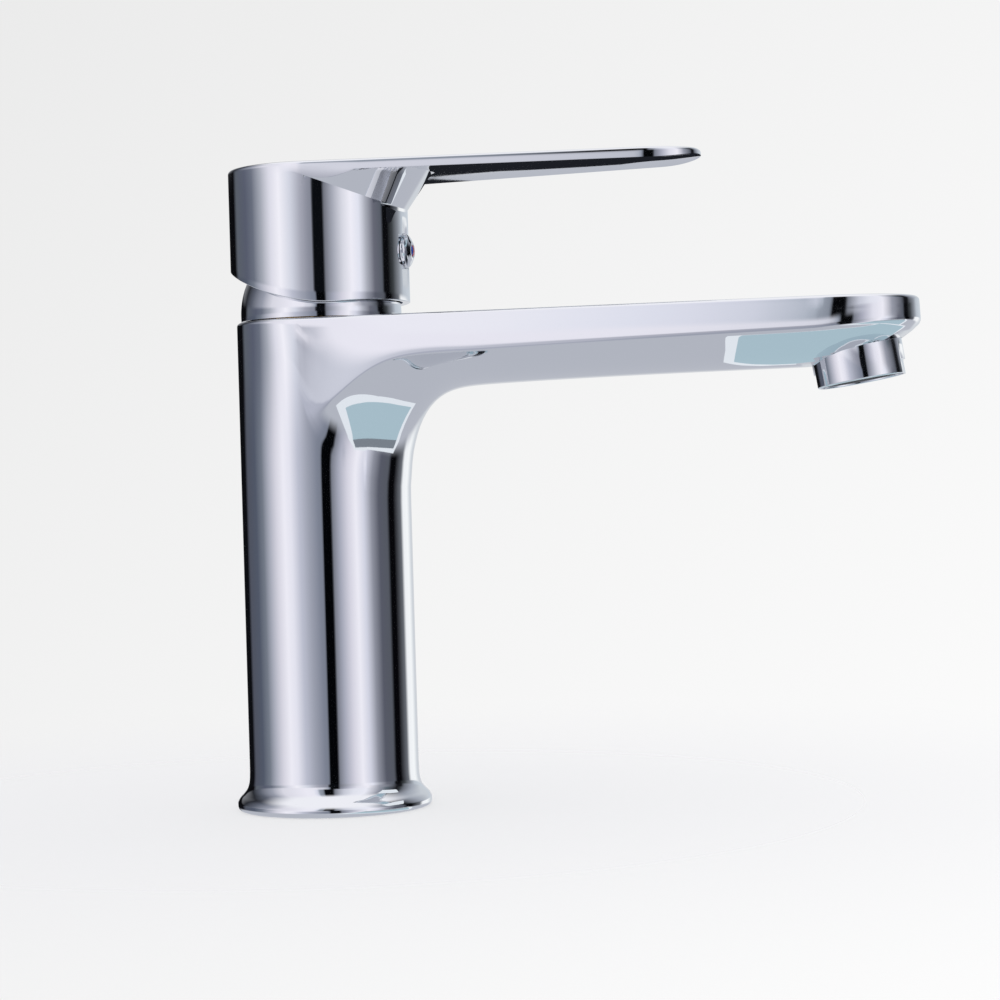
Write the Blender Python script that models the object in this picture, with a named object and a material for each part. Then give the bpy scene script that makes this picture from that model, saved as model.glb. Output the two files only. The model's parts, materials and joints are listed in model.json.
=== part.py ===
"""Single-lever bathroom mixer faucet: a chromed brass body with an integral flat spout,
a 35 mm ceramic cartridge, a hollow lever handle over a domed cover, and an aerator.

Metres, +Z up.  The origin is the centre of the base, on the surface the faucet stands on.
The spout and the lever point along +X.  Every piece is its own object with its own material.
"""
import math

import bmesh
import bpy
from mathutils import Matrix, Vector

# ---------------------------------------------------------------- driving dimensions (metres)
GAP = 0.0003                # running clearance between neighbouring pieces

CARTRIDGE_RADIUS = 0.0176   # outside of the 35 mm cartridge; the bores and walls round it follow
COLUMN_RADIUS = CARTRIDGE_RADIUS + 0.0059   # straight round column of the body
FLANGE_RADIUS = COLUMN_RADIUS + 0.0035      # widest point of the flared foot
FLARE_HEIGHT = 0.0110       # the foot starts to flare out below this height
BODY_TOP = 0.1350           # flat top of the body and of the spout

SPOUT_TIP_X = 0.1650        # farthest point of the spout
SPOUT_TIP_HALF_WIDTH = COLUMN_RADIUS - 0.0023
SPOUT_TIP_LENGTH = 0.0250   # length of the rounded end of the spout, seen from above
SPOUT_TIP_POWER = 2.3       # squareness of the rounded end
SPOUT_BAND = 0.0118         # height of the upright side of the spout at the column
SPOUT_BAND_RISE = 0.0205    # how fast that side gets lower towards the tip, per metre
SPOUT_LEAN = 0.0008         # the top edge of that side stands in from its lower edge
SPOUT_DEPTH = 0.0175        # thickness of the spout on its centre line
FILLET_REACH = 0.0170       # blend under the spout: how far out from the column it starts
FILLET_DROP = 0.0300        # and how far down the column it runs
FILLET_POWER = 2.5

HANDLE_RADIUS = COLUMN_RADIUS + 0.0013      # round block of the handle
HANDLE_TOP = BODY_TOP + 0.0420              # flat top of the handle and the lever
HANDLE_FOOT = BODY_TOP + 0.0038             # lower edge of the handle block
HANDLE_RELIEF_SLOPE = 0.41  # slant of the rear of that edge, which lets the handle tilt
LEVER_TIP_X = 0.1076        # farthest point of the lever
LEVER_TIP_HALF_WIDTH = 0.0130
LEVER_TIP_LENGTH = 0.0156
LEVER_TIP_POWER = 2.4
LEVER_THICKNESS = 0.0028    # edge of the lever plate
LEVER_SCOOP = 0.0010        # hollow under the lever plate
GUSSET_DROP = 0.0120        # height of the wedge under the root of the lever

PIVOT_Z = BODY_TOP + 0.0020     # tilt axis of the handle and centre of the domed cover
DOME_RADIUS = HANDLE_RADIUS - 0.0025   # outside of the domed cover
DOME_WALL = 0.0010
HANDLE_CAVITY_GAP = 0.0006  # between the domed cover and the inside of the handle

CHAMBER_RADIUS = CARTRIDGE_RADIUS + 0.0012   # bore of the body round the cartridge
CHAMBER_FLOOR = BODY_TOP - 0.0275
BRIDGE_BOTTOM = CHAMBER_FLOOR - 0.0215   # underside of the cast floor that carries the water inlets
HOLLOW_RADIUS = COLUMN_RADIUS - 0.0035   # open inside of the column below that floor
NECK_RADIUS = CARTRIDGE_RADIUS - 0.0024   # upper, narrower part of the cartridge
BORE_RADIUS = CARTRIDGE_RADIUS - 0.0030   # inside of the cartridge housing
ROTOR_NECK_RADIUS = CARTRIDGE_RADIUS - 0.0064
INLET_X = 0.0035            # hot and cold ways, one on each side
INLET_Y = 0.0065
INLET_RADIUS = 0.0026
HOSE_PORT_RADIUS = 0.0042   # threaded holes for the hose tails, from below
STUD_X = -0.0085            # threaded hole for the fixing stud
STUD_RADIUS = 0.0031
FINGER_LENGTH = 0.0120      # from the tilt axis down to the ball on the spindle
HALF_STROKE = math.radians(11.0)   # the spindle leans this far each way

INDICATOR_Z = BODY_TOP + 0.0185     # hot and cold marker on the front of the handle
INDICATOR_RADIUS = 0.0047
MARKER_RADIUS = 0.0016
GRUB_RADIUS = 0.0023

AERATOR_X = SPOUT_TIP_X - 0.0158    # centre of the outlet
AERATOR_Z = BODY_TOP - 0.0220
AERATOR_TILT = math.radians(9.0)
AERATOR_RADIUS = 0.0122
AERATOR_THREAD_RADIUS = AERATOR_RADIUS - 0.0012
AERATOR_FLATS_HALF = AERATOR_RADIUS - 0.0009
AERATOR_BORE = AERATOR_RADIUS - 0.0023

# ---------------------------------------------------------------- derived dimensions
DISC_BASE = CHAMBER_FLOOR + GAP
BASE_TOP = DISC_BASE + 0.0047
FIXED_TOP = BASE_TOP + GAP + 0.0030
MOVING_TOP = FIXED_TOP + GAP + 0.0030
CARRIER_BOTTOM = MOVING_TOP + GAP
BALL_Z = PIVOT_Z - FINGER_LENGTH * math.cos(HALF_STROKE)
BALL_X = -FINGER_LENGTH * math.sin(HALF_STROKE)
CARRIER_TOP = BALL_Z + 0.0014
ROTOR_BOTTOM = CARRIER_TOP + GAP
ROTOR_SHOULDER = ROTOR_BOTTOM + 0.0031
ROTOR_TOP = PIVOT_Z + 0.0045
HOUSING_SHOULDER = BODY_TOP - 0.0060
HOUSING_TOP = PIVOT_Z + 0.0020
DOME_TOP = INDICATOR_Z - 0.0032
DISC_RADIUS = BORE_RADIUS - 0.0004
MOVING_DISC_RADIUS = DISC_RADIUS - 0.0028
STEM_TOP = HANDLE_TOP - 0.0115
STEM_HALF_X = 0.0040
STEM_HALF_Y = 0.0035
PIN_RADIUS = 0.00145
CAVITY_RADIUS = DOME_RADIUS + HANDLE_CAVITY_GAP
BOSS_RADIUS = 0.0085

MM = 0.001


# ---------------------------------------------------------------- helpers
def clear_scene():
    for old in list(bpy.data.objects):
        bpy.data.objects.remove(old, do_unlink=True)


def material(name, colour, metallic, roughness):
    mat = bpy.data.materials.new(name)
    mat.use_nodes = True
    shader = mat.node_tree.nodes["Principled BSDF"]
    shader.inputs["Base Color"].default_value = (colour[0], colour[1], colour[2], 1.0)
    shader.inputs["Metallic"].default_value = metallic
    shader.inputs["Roughness"].default_value = roughness
    mat.diffuse_color = (colour[0], colour[1], colour[2], 1.0)
    return mat


def finish(name, bm, mat=None, angle=30.0):
    """Turn a bmesh into a named object; smooth, with edges sharper than the angle kept."""
    bmesh.ops.remove_doubles(bm, verts=bm.verts, dist=1e-7)
    bmesh.ops.dissolve_degenerate(bm, edges=bm.edges, dist=1e-7)
    bmesh.ops.recalc_face_normals(bm, faces=bm.faces)
    mesh = bpy.data.meshes.new(name)
    bm.to_mesh(mesh)
    bm.free()
    obj = bpy.data.objects.new(name, mesh)
    bpy.context.scene.collection.objects.link(obj)
    mesh.shade_smooth()
    mesh.set_sharp_from_angle(angle=math.radians(angle))
    if mat is not None:
        mesh.materials.append(mat)
    return obj


def set_origin(obj, point):
    """Move the object's origin without moving the piece."""
    obj.data.transform(Matrix.Translation([-c for c in point]))
    obj.location = point


def cutter(obj):
    obj.hide_render = True
    obj.display_type = 'WIRE'
    return obj


def combine(target, tool, operation='DIFFERENCE'):
    """Cut a tool out of the target, or join it on."""
    cutter(tool)
    mod = target.modifiers.new(tool.name, 'BOOLEAN')
    mod.operation = operation
    mod.solver = 'EXACT'
    mod.object = tool


def axis_frame(origin, direction):
    """Placement whose local +Z is the given direction."""
    turn = Vector((0.0, 0.0, 1.0)).rotation_difference(Vector(direction).normalized())
    return Matrix.Translation(Vector(origin)) @ turn.to_matrix().to_4x4()


def lathe(profile, segments, placement=None):
    """Closed (radius, height) outline turned once round its own Z axis."""
    bm = bmesh.new()
    verts = [bm.verts.new((r, 0.0, z)) for r, z in profile]
    edges = [bm.edges.new((verts[i], verts[(i + 1) % len(verts)])) for i in range(len(verts))]
    edges = [e for e in edges if max(e.verts[0].co.x, e.verts[1].co.x) > 1e-9]
    bmesh.ops.spin(bm, geom=verts + edges, cent=(0, 0, 0), axis=(0, 0, 1),
                   angle=math.tau, steps=segments, use_merge=True)
    loose = [e for e in bm.edges if not e.link_faces]
    bmesh.ops.delete(bm, geom=loose, context='EDGES')
    if placement is not None:
        bmesh.ops.transform(bm, matrix=placement, verts=bm.verts)
    return bm


def tube_profile(inner, outer, low, high):
    return [(inner, low), (outer, low), (outer, high), (inner, high)]


def rod_profile(radius, low, high):
    return [(0.0, low), (radius, low), (radius, high), (0.0, high)]


def ring_profile(centre_radius, section, height, steps=10):
    points = []
    for i in range(steps):
        a = math.tau * i / steps
        points.append((centre_radius + section * math.cos(a), height + section * math.sin(a)))
    return points


def box(low, high):
    bm = bmesh.new()
    size = [b - a for a, b in zip(low, high)]
    centre = [(a + b) / 2 for a, b in zip(low, high)]
    place = Matrix.Translation(centre) @ Matrix.Diagonal((size[0], size[1], size[2], 1.0))
    bmesh.ops.create_cube(bm, size=1.0, matrix=place)
    return bm


def cut_lathe(target, name, profile, segments, placement=None):
    combine(target, finish(name, lathe(profile, segments, placement)))


def cut_box(target, name, low, high):
    combine(target, finish(name, box(low, high)))


def vertical(x, y):
    return Matrix.Translation((x, y, 0.0))


# ---------------------------------------------------------------- arm on a round column
class Arm:
    """Round column with a flat-topped arm along +X, drawn as one outline seen from above.

    The sides leave the circle as tangents and end in a rounded tip.
    """

    def __init__(self, radius, tip_x, tip_half, tip_length, power, back, side, tip):
        self.radius = radius
        self.x0 = tip_x - tip_length
        self.tip_length = tip_length
        self.power = power
        reach = math.hypot(self.x0, tip_half)
        self.alpha = math.atan2(tip_half, self.x0) + math.acos(radius / reach)
        self.columns = []
        for i in range(back):
            a = self.alpha + (math.tau - 2 * self.alpha) * i / back
            self.columns.append((radius * math.cos(a), radius * math.sin(a), a, True))
        front = []
        start = radius * math.cos(self.alpha)
        for i in range(side + 1):
            x = start + (self.x0 - start) * i / (side + 1)
            front.append((x, -self.half_width(x)))
        for i in range(tip + 1):
            a = math.pi / 2 * i / tip
            u = math.sin(a) ** (2.0 / power)
            s = math.cos(a) ** (2.0 / power) if i < tip else 0.0
            x = self.x0 + tip_length * u
            front.append((x, -self.half_width(x) * s))
        mirrored = [(x, -y) for x, y in reversed(front[:-1])]
        front = front + mirrored
        count = len(front) - 1
        for i, (x, y) in enumerate(front[:-1]):
            a = -self.alpha + 2 * self.alpha * i / count
            self.columns.append((x, y, a, i == 0))

    def half_width(self, x):
        """Half width of the tangent side lines at x."""
        return (self.radius - x * math.cos(self.alpha)) / math.sin(self.alpha)

    def spread(self, x, y):
        """0 on the centre line, 1 on the outline of the arm."""
        u = max(0.0, (x - self.x0) / self.tip_length)
        t = abs(y) / self.half_width(x)
        return min(1.0, (t ** self.power + u ** self.power) ** (1.0 / self.power))

    def lean_weight(self, x):
        """0 on the back of the column, 1 along the arm, easing off round the tip."""
        rise = min(1.0, max(0.0, (x + 0.5 * self.radius) / (1.2 * self.radius)))
        fall = min(1.0, max(0.0, (x - self.x0) / self.tip_length))
        return rise * rise * (3.0 - 2.0 * rise) * (1.0 - 0.7 * fall)

    def inset(self, distance, lean=0.0):
        """The outline moved inwards by a distance, and by the lean along the arm."""
        points = [Vector((c[0], c[1])) for c in self.columns]
        count = len(points)
        moved = []
        for i, p in enumerate(points):
            along = points[(i + 1) % count] - points[i - 1]
            normal = Vector((along.y, -along.x)).normalized()
            moved.append(p - normal * (distance + lean * self.lean_weight(p.x)))
        return moved


def arm_solid(arm, top, edge, lean, band_bottom, under, fractions, back_drop, lower_rows,
              foot_rows):
    """Closed solid: flat top, rounded edge, side band, shaped underside, column, foot.

    The top of the band leans inwards along the arm by the lean.

    band_bottom(x, y) gives the lower edge of the band, under(x, y) the underside.
    fractions run from the band (1) to the column (0); on the back of the column the same
    rows are spread over back_drop.  lower_rows are heights on the column and foot_rows are
    (radius, height) pairs below it.
    """
    bm = bmesh.new()
    rings = []
    for i in range(3):
        a = math.pi / 2 * i / 2
        points = arm.inset(edge * (1 - math.sin(a)), lean)
        height = top - edge * (1 - math.cos(a))
        rings.append([bm.verts.new((p.x, p.y, height)) for p in points])
    for f in fractions:
        ring = []
        for x, y, a, on_column in arm.columns:
            cx = arm.radius * math.cos(a)
            cy = arm.radius * math.sin(a)
            if on_column:
                height = band_bottom(x, y) - (1.0 - f) * back_drop
                ring.append(bm.verts.new((cx, cy, height)))
                continue
            px = cx + (x - cx) * f
            py = cy + (y - cy) * f
            height = band_bottom(x, y) if f == 1.0 else under(px, py)
            ring.append(bm.verts.new((px, py, height)))
        rings.append(ring)
    for radius, height in [(arm.radius, z) for z in lower_rows] + foot_rows:
        rings.append([bm.verts.new((radius * math.cos(c[2]), radius * math.sin(c[2]), height))
                      for c in arm.columns])
    count = len(arm.columns)
    for upper, lower in zip(rings, rings[1:]):
        for i in range(count):
            j = (i + 1) % count
            bm.faces.new((upper[i], upper[j], lower[j], lower[i]))
    bm.faces.new(rings[0])
    bm.faces.new(list(reversed(rings[-1])))
    return bm


# ---------------------------------------------------------------- body with spout
def fillet_drop(x, y, radius):
    """How far the blend under the spout has dropped at (x, y); it fades out at the sides of the column."""
    angle = abs(math.degrees(math.atan2(y, x)))
    share = 1.0 - 0.07 * (angle / 62.0) ** 2
    if angle > 62.0:
        share *= max(0.0, math.cos(math.radians(min(90.0, (angle - 62.0) * 90.0 / 27.0)))) ** 0.35
    out = math.hypot(x, y) - radius
    if share < 0.001 or out >= FILLET_REACH * share:
        return 0.0
    near = 1.0 - max(out, 0.0) / (FILLET_REACH * share)
    return FILLET_DROP * share * (1.0 - (1.0 - near ** FILLET_POWER) ** (1.0 / FILLET_POWER))


def spout_band(x, y):
    tip = max(0.0, (x - 0.85 * SPOUT_TIP_X) / SPOUT_TIP_X)
    height = BODY_TOP - SPOUT_BAND + SPOUT_BAND_RISE * x + 0.053 * tip ** 2
    return height - fillet_drop(x, y, COLUMN_RADIUS)


def spout_under(x, y):
    tip = max(0.0, (x - 0.85 * SPOUT_TIP_X) / SPOUT_TIP_X)
    rim = BODY_TOP - SPOUT_BAND + SPOUT_BAND_RISE * x + 0.053 * tip ** 2
    keel = BODY_TOP - SPOUT_DEPTH - 0.0026 * math.exp(-(x - COLUMN_RADIUS) / 0.045)
    t = SPOUT.spread(x, y)
    return rim - (rim - keel) * (1.0 - t ** 2.2) - fillet_drop(x, y, COLUMN_RADIUS)


SPOUT = Arm(COLUMN_RADIUS, SPOUT_TIP_X, SPOUT_TIP_HALF_WIDTH, SPOUT_TIP_LENGTH,
            SPOUT_TIP_POWER, back=22, side=7, tip=6)
LEVER = Arm(HANDLE_RADIUS, LEVER_TIP_X, LEVER_TIP_HALF_WIDTH, LEVER_TIP_LENGTH,
            LEVER_TIP_POWER, back=22, side=7, tip=6)
OUTLET = axis_frame((AERATOR_X, 0.0, AERATOR_Z),
                    (-math.sin(AERATOR_TILT), 0.0, math.cos(AERATOR_TILT)))


def build_body(mat):
    flange = FLANGE_RADIUS - COLUMN_RADIUS
    foot = [(COLUMN_RADIUS, FLARE_HEIGHT),
            (COLUMN_RADIUS + 0.04 * flange, 0.68 * FLARE_HEIGHT),
            (COLUMN_RADIUS + 0.20 * flange, 0.54 * FLARE_HEIGHT),
            (COLUMN_RADIUS + 0.46 * flange, 0.44 * FLARE_HEIGHT),
            (COLUMN_RADIUS + 0.80 * flange, 0.34 * FLARE_HEIGHT),
            (FLANGE_RADIUS, 0.24 * FLARE_HEIGHT),
            (FLANGE_RADIUS, 0.11 * FLARE_HEIGHT),
            (FLANGE_RADIUS - 0.6 * MM, 0.03 * FLARE_HEIGHT),
            (FLANGE_RADIUS - 1.2 * MM, 0.0)]
    bm = arm_solid(SPOUT, BODY_TOP, 1.0 * MM, SPOUT_LEAN, spout_band, spout_under,
                   [1.0, 0.85, 0.65, 0.45, 0.28, 0.17, 0.10, 0.055, 0.025, 0.008, 0.0],
                   4.0 * MM, [0.52 * BODY_TOP], foot)
    body = finish("body", bm, mat)
    cut_lathe(body, "cut_column", rod_profile(HOLLOW_RADIUS, -0.002, BRIDGE_BOTTOM), 32)
    cut_lathe(body, "cut_chamber", rod_profile(CHAMBER_RADIUS, CHAMBER_FLOOR, BODY_TOP + 0.002), 32)
    for side, label in ((1, "hot"), (-1, "cold")):
        cut_lathe(body, "cut_inlet_" + label,
                  rod_profile(HOSE_PORT_RADIUS, BRIDGE_BOTTOM - 0.001, CHAMBER_FLOOR - 0.004), 16,
                  vertical(INLET_X, side * INLET_Y))
        cut_lathe(body, "cut_way_" + label,
                  rod_profile(INLET_RADIUS, CHAMBER_FLOOR - 0.005, CHAMBER_FLOOR + 0.001), 16,
                  vertical(INLET_X, side * INLET_Y))
    cut_lathe(body, "cut_stud",
              rod_profile(STUD_RADIUS, BRIDGE_BOTTOM - 0.001, BRIDGE_BOTTOM + 0.013), 16,
              vertical(STUD_X, 0.0))
    cut_lathe(body, "cut_seal_groove", tube_profile(HOLLOW_RADIUS + 1.3 * MM, FLANGE_RADIUS - 2.8 * MM,
                                                    -0.001, 0.0024), 32)
    # water way: a port out of the chamber, then the hollow of the spout, then the outlet socket
    port = Matrix.Translation((0, 0, CHAMBER_FLOOR + 0.0135)) @ Matrix.Rotation(math.pi / 2, 4, 'Y')
    cut_lathe(body, "cut_port", rod_profile(0.0040, CHAMBER_RADIUS - 0.002, CHAMBER_RADIUS + 0.018), 16,
              port)
    hollow_z = BODY_TOP - 0.0095
    hollow = Matrix.Translation((0, 0, hollow_z)) @ Matrix.Rotation(math.pi / 2, 4, 'Y')
    hollow = hollow @ Matrix.Diagonal((0.0062 / 0.0135, 1.0, 1.0, 1.0))
    cut_lathe(body, "cut_waterway",
              rod_profile(0.0135, CHAMBER_RADIUS + 0.009, AERATOR_X - 0.008), 20, hollow)
    collar, thread = AERATOR_RADIUS + 0.35 * MM, AERATOR_THREAD_RADIUS + 0.35 * MM
    cut_lathe(body, "cut_outlet", [(0.0, 0.0030), (collar, 0.0030), (collar, 0.0099), (thread, 0.0099),
                                   (thread, 0.0176), (0.0, 0.0176)], 32, OUTLET)


# ---------------------------------------------------------------- cartridge
def build_cartridge(mats):
    base = finish("cartridge_base", lathe([
        (0.0, DISC_BASE), (CARTRIDGE_RADIUS - 0.3 * MM, DISC_BASE),
        (CARTRIDGE_RADIUS - 0.3 * MM, DISC_BASE + 0.0020), (DISC_RADIUS, DISC_BASE + 0.0020),
        (DISC_RADIUS, BASE_TOP), (0.0, BASE_TOP)], 32), mats["polymer"])
    fixed = finish("fixed_ceramic_disc", lathe(
        rod_profile(DISC_RADIUS, BASE_TOP + GAP, FIXED_TOP), 32), mats["ceramic"])
    for side, label in ((1, "hot"), (-1, "cold")):
        place = vertical(INLET_X, side * INLET_Y)
        cut_lathe(base, "cut_base_pocket_" + label,
                  rod_profile(INLET_RADIUS + 2.0 * MM, DISC_BASE - 0.001, DISC_BASE + 0.0018), 20, place)
        cut_lathe(base, "cut_base_way_" + label,
                  rod_profile(INLET_RADIUS, DISC_BASE, BASE_TOP + 0.001), 16, place)
        cut_lathe(fixed, "cut_fixed_way_" + label,
                  rod_profile(INLET_RADIUS, BASE_TOP - 0.001, FIXED_TOP + 0.001), 16, place)
        finish("inlet_seal_" + label,
               lathe(tube_profile(INLET_RADIUS + GAP, INLET_RADIUS + 1.7 * MM,
                                  DISC_BASE, DISC_BASE + 0.0015), 20, place), mats["rubber"])
    outlet_x = -1.7 * INLET_RADIUS
    cut_box(base, "cut_base_outlet", (-BORE_RADIUS - 0.001, -0.0030, DISC_BASE + 0.0022),
            (outlet_x + 0.0030, 0.0030, BASE_TOP + 0.001))
    cut_lathe(fixed, "cut_fixed_outlet", rod_profile(0.0030, BASE_TOP - 0.001, FIXED_TOP + 0.001),
              16, vertical(outlet_x, 0.0))

    moving = finish("moving_ceramic_disc", lathe(
        rod_profile(MOVING_DISC_RADIUS, FIXED_TOP + GAP, MOVING_TOP), 32, vertical(BALL_X, 0.0)),
        mats["ceramic"])
    cut_lathe(moving, "cut_mixing_recess", rod_profile(0.0060, FIXED_TOP - 0.001, FIXED_TOP + 0.0018),
              20, vertical(BALL_X, 0.0))

    carrier = finish("disc_carrier", lathe(
        rod_profile(MOVING_DISC_RADIUS - 1.0 * MM, CARRIER_BOTTOM, CARRIER_TOP), 32,
        vertical(BALL_X, 0.0)), mats["carrier"])
    cut_lathe(carrier, "cut_ball_socket", rod_profile(0.00285, BALL_Z - 0.0031, CARRIER_TOP + 0.001),
              16, vertical(BALL_X, 0.0))
    for side, label in ((1, "left"), (-1, "right")):
        near, far = sorted((side * 0.0083, side * 0.0150))
        cut_box(carrier, "cut_carrier_flat_" + label, (-0.02, near, CARRIER_BOTTOM - 0.001),
                (0.02, far, CARRIER_TOP + 0.001))
        peg = vertical(BALL_X, side * 0.0058)
        combine(carrier, finish("add_carrier_peg_" + label, lathe(
            rod_profile(0.0011, MOVING_TOP - 0.0010, CARRIER_BOTTOM + 0.001), 12, peg)), 'UNION')
        cut_lathe(moving, "cut_peg_hole_" + label,
                  rod_profile(0.0014, MOVING_TOP - 0.0013, MOVING_TOP + 0.001), 12, peg)

    rotor = finish("rotor", lathe([
        (0.0, ROTOR_BOTTOM), (DISC_RADIUS, ROTOR_BOTTOM), (DISC_RADIUS, ROTOR_SHOULDER),
        (ROTOR_NECK_RADIUS, ROTOR_SHOULDER), (ROTOR_NECK_RADIUS, ROTOR_TOP), (0.0, ROTOR_TOP)], 32),
        mats["rotor"])
    cut_box(rotor, "cut_rotor_slot", (-0.0076, -STEM_HALF_Y - 0.4 * MM, ROTOR_BOTTOM - 0.001),
            (0.0076, STEM_HALF_Y + 0.4 * MM, ROTOR_TOP + 0.001))
    for side, label in ((1, "left"), (-1, "right")):
        near, far = sorted((side * 0.0086, side * 0.0108))
        combine(rotor, finish("add_guide_" + label, box(
            (-0.0045, near, CARRIER_BOTTOM + 0.0010), (0.0045, far, ROTOR_BOTTOM + 0.001))), 'UNION')
    pin_axis = axis_frame((0, 0, PIVOT_Z), (0, 1, 0))
    cut_lathe(rotor, "cut_rotor_pin", rod_profile(
        PIN_RADIUS + GAP, -ROTOR_NECK_RADIUS - 1.8 * MM, ROTOR_NECK_RADIUS + 1.8 * MM), 16, pin_axis)
    finish("pivot_pin", lathe(rod_profile(PIN_RADIUS, 0.6 * MM - ROTOR_NECK_RADIUS,
                                          ROTOR_NECK_RADIUS - 0.6 * MM), 16, pin_axis), mats["steel"])

    finger_axis = axis_frame((BALL_X, 0.0, BALL_Z), (-BALL_X, 0.0, PIVOT_Z - BALL_Z))
    stem = finish("spindle", box((-STEM_HALF_X, -STEM_HALF_Y, PIVOT_Z - 0.0040),
                                 (STEM_HALF_X, STEM_HALF_Y, STEM_TOP)), mats["brass"])
    ball = [(0.0025 * math.sin(math.radians(a)), -0.0025 * math.cos(math.radians(a)))
            for a in (0, 30, 60, 90, 122)]
    combine(stem, finish("add_finger", lathe(
        ball + [(0.0021, 0.0025), (0.0028, 0.0078), (0.0028, 0.0100), (0.0, 0.0100)], 16,
        finger_axis)), 'UNION')
    cut_lathe(stem, "cut_stem_pin", rod_profile(PIN_RADIUS + GAP, -0.005, 0.005), 16, pin_axis)

    groove = HOUSING_SHOULDER - 0.0021
    housing = finish("cartridge_housing", lathe([
        (BORE_RADIUS, DISC_BASE + 0.0023), (CARTRIDGE_RADIUS, DISC_BASE + 0.0023),
        (CARTRIDGE_RADIUS, groove - 0.00105), (CARTRIDGE_RADIUS - 1.2 * MM, groove - 0.00105),
        (CARTRIDGE_RADIUS - 1.2 * MM, groove + 0.00105), (CARTRIDGE_RADIUS, groove + 0.00105),
        (CARTRIDGE_RADIUS, HOUSING_SHOULDER), (NECK_RADIUS, HOUSING_SHOULDER),
        (NECK_RADIUS, HOUSING_TOP), (ROTOR_NECK_RADIUS + GAP, HOUSING_TOP),
        (ROTOR_NECK_RADIUS + GAP, ROTOR_SHOULDER + GAP), (BORE_RADIUS, ROTOR_SHOULDER + GAP)], 32),
        mats["polymer"])
    cut_box(housing, "cut_housing_window", (-0.020, -0.0050, DISC_BASE + 0.0015),
            (-0.010, 0.0050, BASE_TOP))
    finish("housing_o_ring", lathe(ring_profile(CARTRIDGE_RADIUS - 0.15 * MM, 0.72 * MM, groove), 32),
           mats["rubber"])
    limit = finish("temperature_limit_ring", lathe(tube_profile(
        ROTOR_NECK_RADIUS + GAP, NECK_RADIUS - 0.6 * MM, HOUSING_TOP + GAP, HOUSING_TOP + 0.0020), 32),
        mats["limit"])
    cut_box(limit, "cut_limit_notch", (0.0125, -0.0030, HOUSING_TOP), (0.0200, 0.0030, HOUSING_TOP + 0.003))

    nut = finish("cartridge_nut", lathe([
        (NECK_RADIUS + GAP, HOUSING_SHOULDER + GAP), (CHAMBER_RADIUS - GAP, HOUSING_SHOULDER + GAP),
        (CHAMBER_RADIUS - GAP, BODY_TOP + GAP), (CHAMBER_RADIUS + 0.6 * MM, BODY_TOP + GAP),
        (CHAMBER_RADIUS + 0.6 * MM, BODY_TOP + 0.0023), (NECK_RADIUS + GAP, BODY_TOP + 0.0023)], 32),
        mats["brass"])
    hex_radius = NECK_RADIUS + 3.8 * MM
    hexagon = lathe([(NECK_RADIUS + GAP, BODY_TOP + 0.0015), (hex_radius, BODY_TOP + 0.0015),
                     (hex_radius, HOUSING_TOP + GAP), (NECK_RADIUS + GAP, HOUSING_TOP + GAP)], 6)
    bore_fix = finish("cut_nut_bore", lathe(rod_profile(NECK_RADIUS + GAP, HOUSING_SHOULDER, HOUSING_TOP + 0.01), 32))
    combine(nut, finish("add_nut_hexagon", hexagon), 'UNION')
    combine(nut, bore_fix)


# ---------------------------------------------------------------- cover and handle
def sphere_arc(radius, low, high, steps):
    """(radius, height) points of a sphere about the tilt centre between two heights."""
    first = math.asin((low - PIVOT_Z) / radius)
    last = math.asin((high - PIVOT_Z) / radius)
    points = []
    for i in range(steps + 1):
        a = first + (last - first) * i / steps
        points.append((radius * math.cos(a), PIVOT_Z + radius * math.sin(a)))
    return points


def build_cover(mats):
    outer = sphere_arc(DOME_RADIUS, BODY_TOP + GAP, DOME_TOP, 7)
    inner = sphere_arc(DOME_RADIUS - DOME_WALL, BODY_TOP + GAP, DOME_TOP, 7)
    finish("dome_cover", lathe(outer + inner[::-1], 40), mats["chrome"])
    finish("dome_o_ring", lathe(ring_profile(CHAMBER_RADIUS + 1.45 * MM, 0.5 * MM, BODY_TOP + 0.0013), 32),
           mats["rubber"])


def gusset(x, y):
    """Sloping face of the wedge between the block and the lever."""
    out = max(0.0, math.hypot(x, y) - HANDLE_RADIUS)
    front = HANDLE_TOP - GUSSET_DROP + 0.0095 * (1.0 - x / math.hypot(x, y))
    return front + 1.45 * out


def lever_rim(x):
    """Lower edge of the lever plate; it thins out at the tip."""
    tip = max(0.0, (x - LEVER_TIP_X + 0.012) / 0.012)
    return HANDLE_TOP - LEVER_THICKNESS + 0.0013 * tip ** 2


def lever_band(x, y):
    return min(lever_rim(x), gusset(x, y))


def lever_under(x, y):
    t = LEVER.spread(x, y)
    scoop = LEVER_SCOOP * max(0.0, 1.0 - (t / 0.85) ** 3)
    return min(lever_rim(x) + scoop, gusset(x, y))


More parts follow.
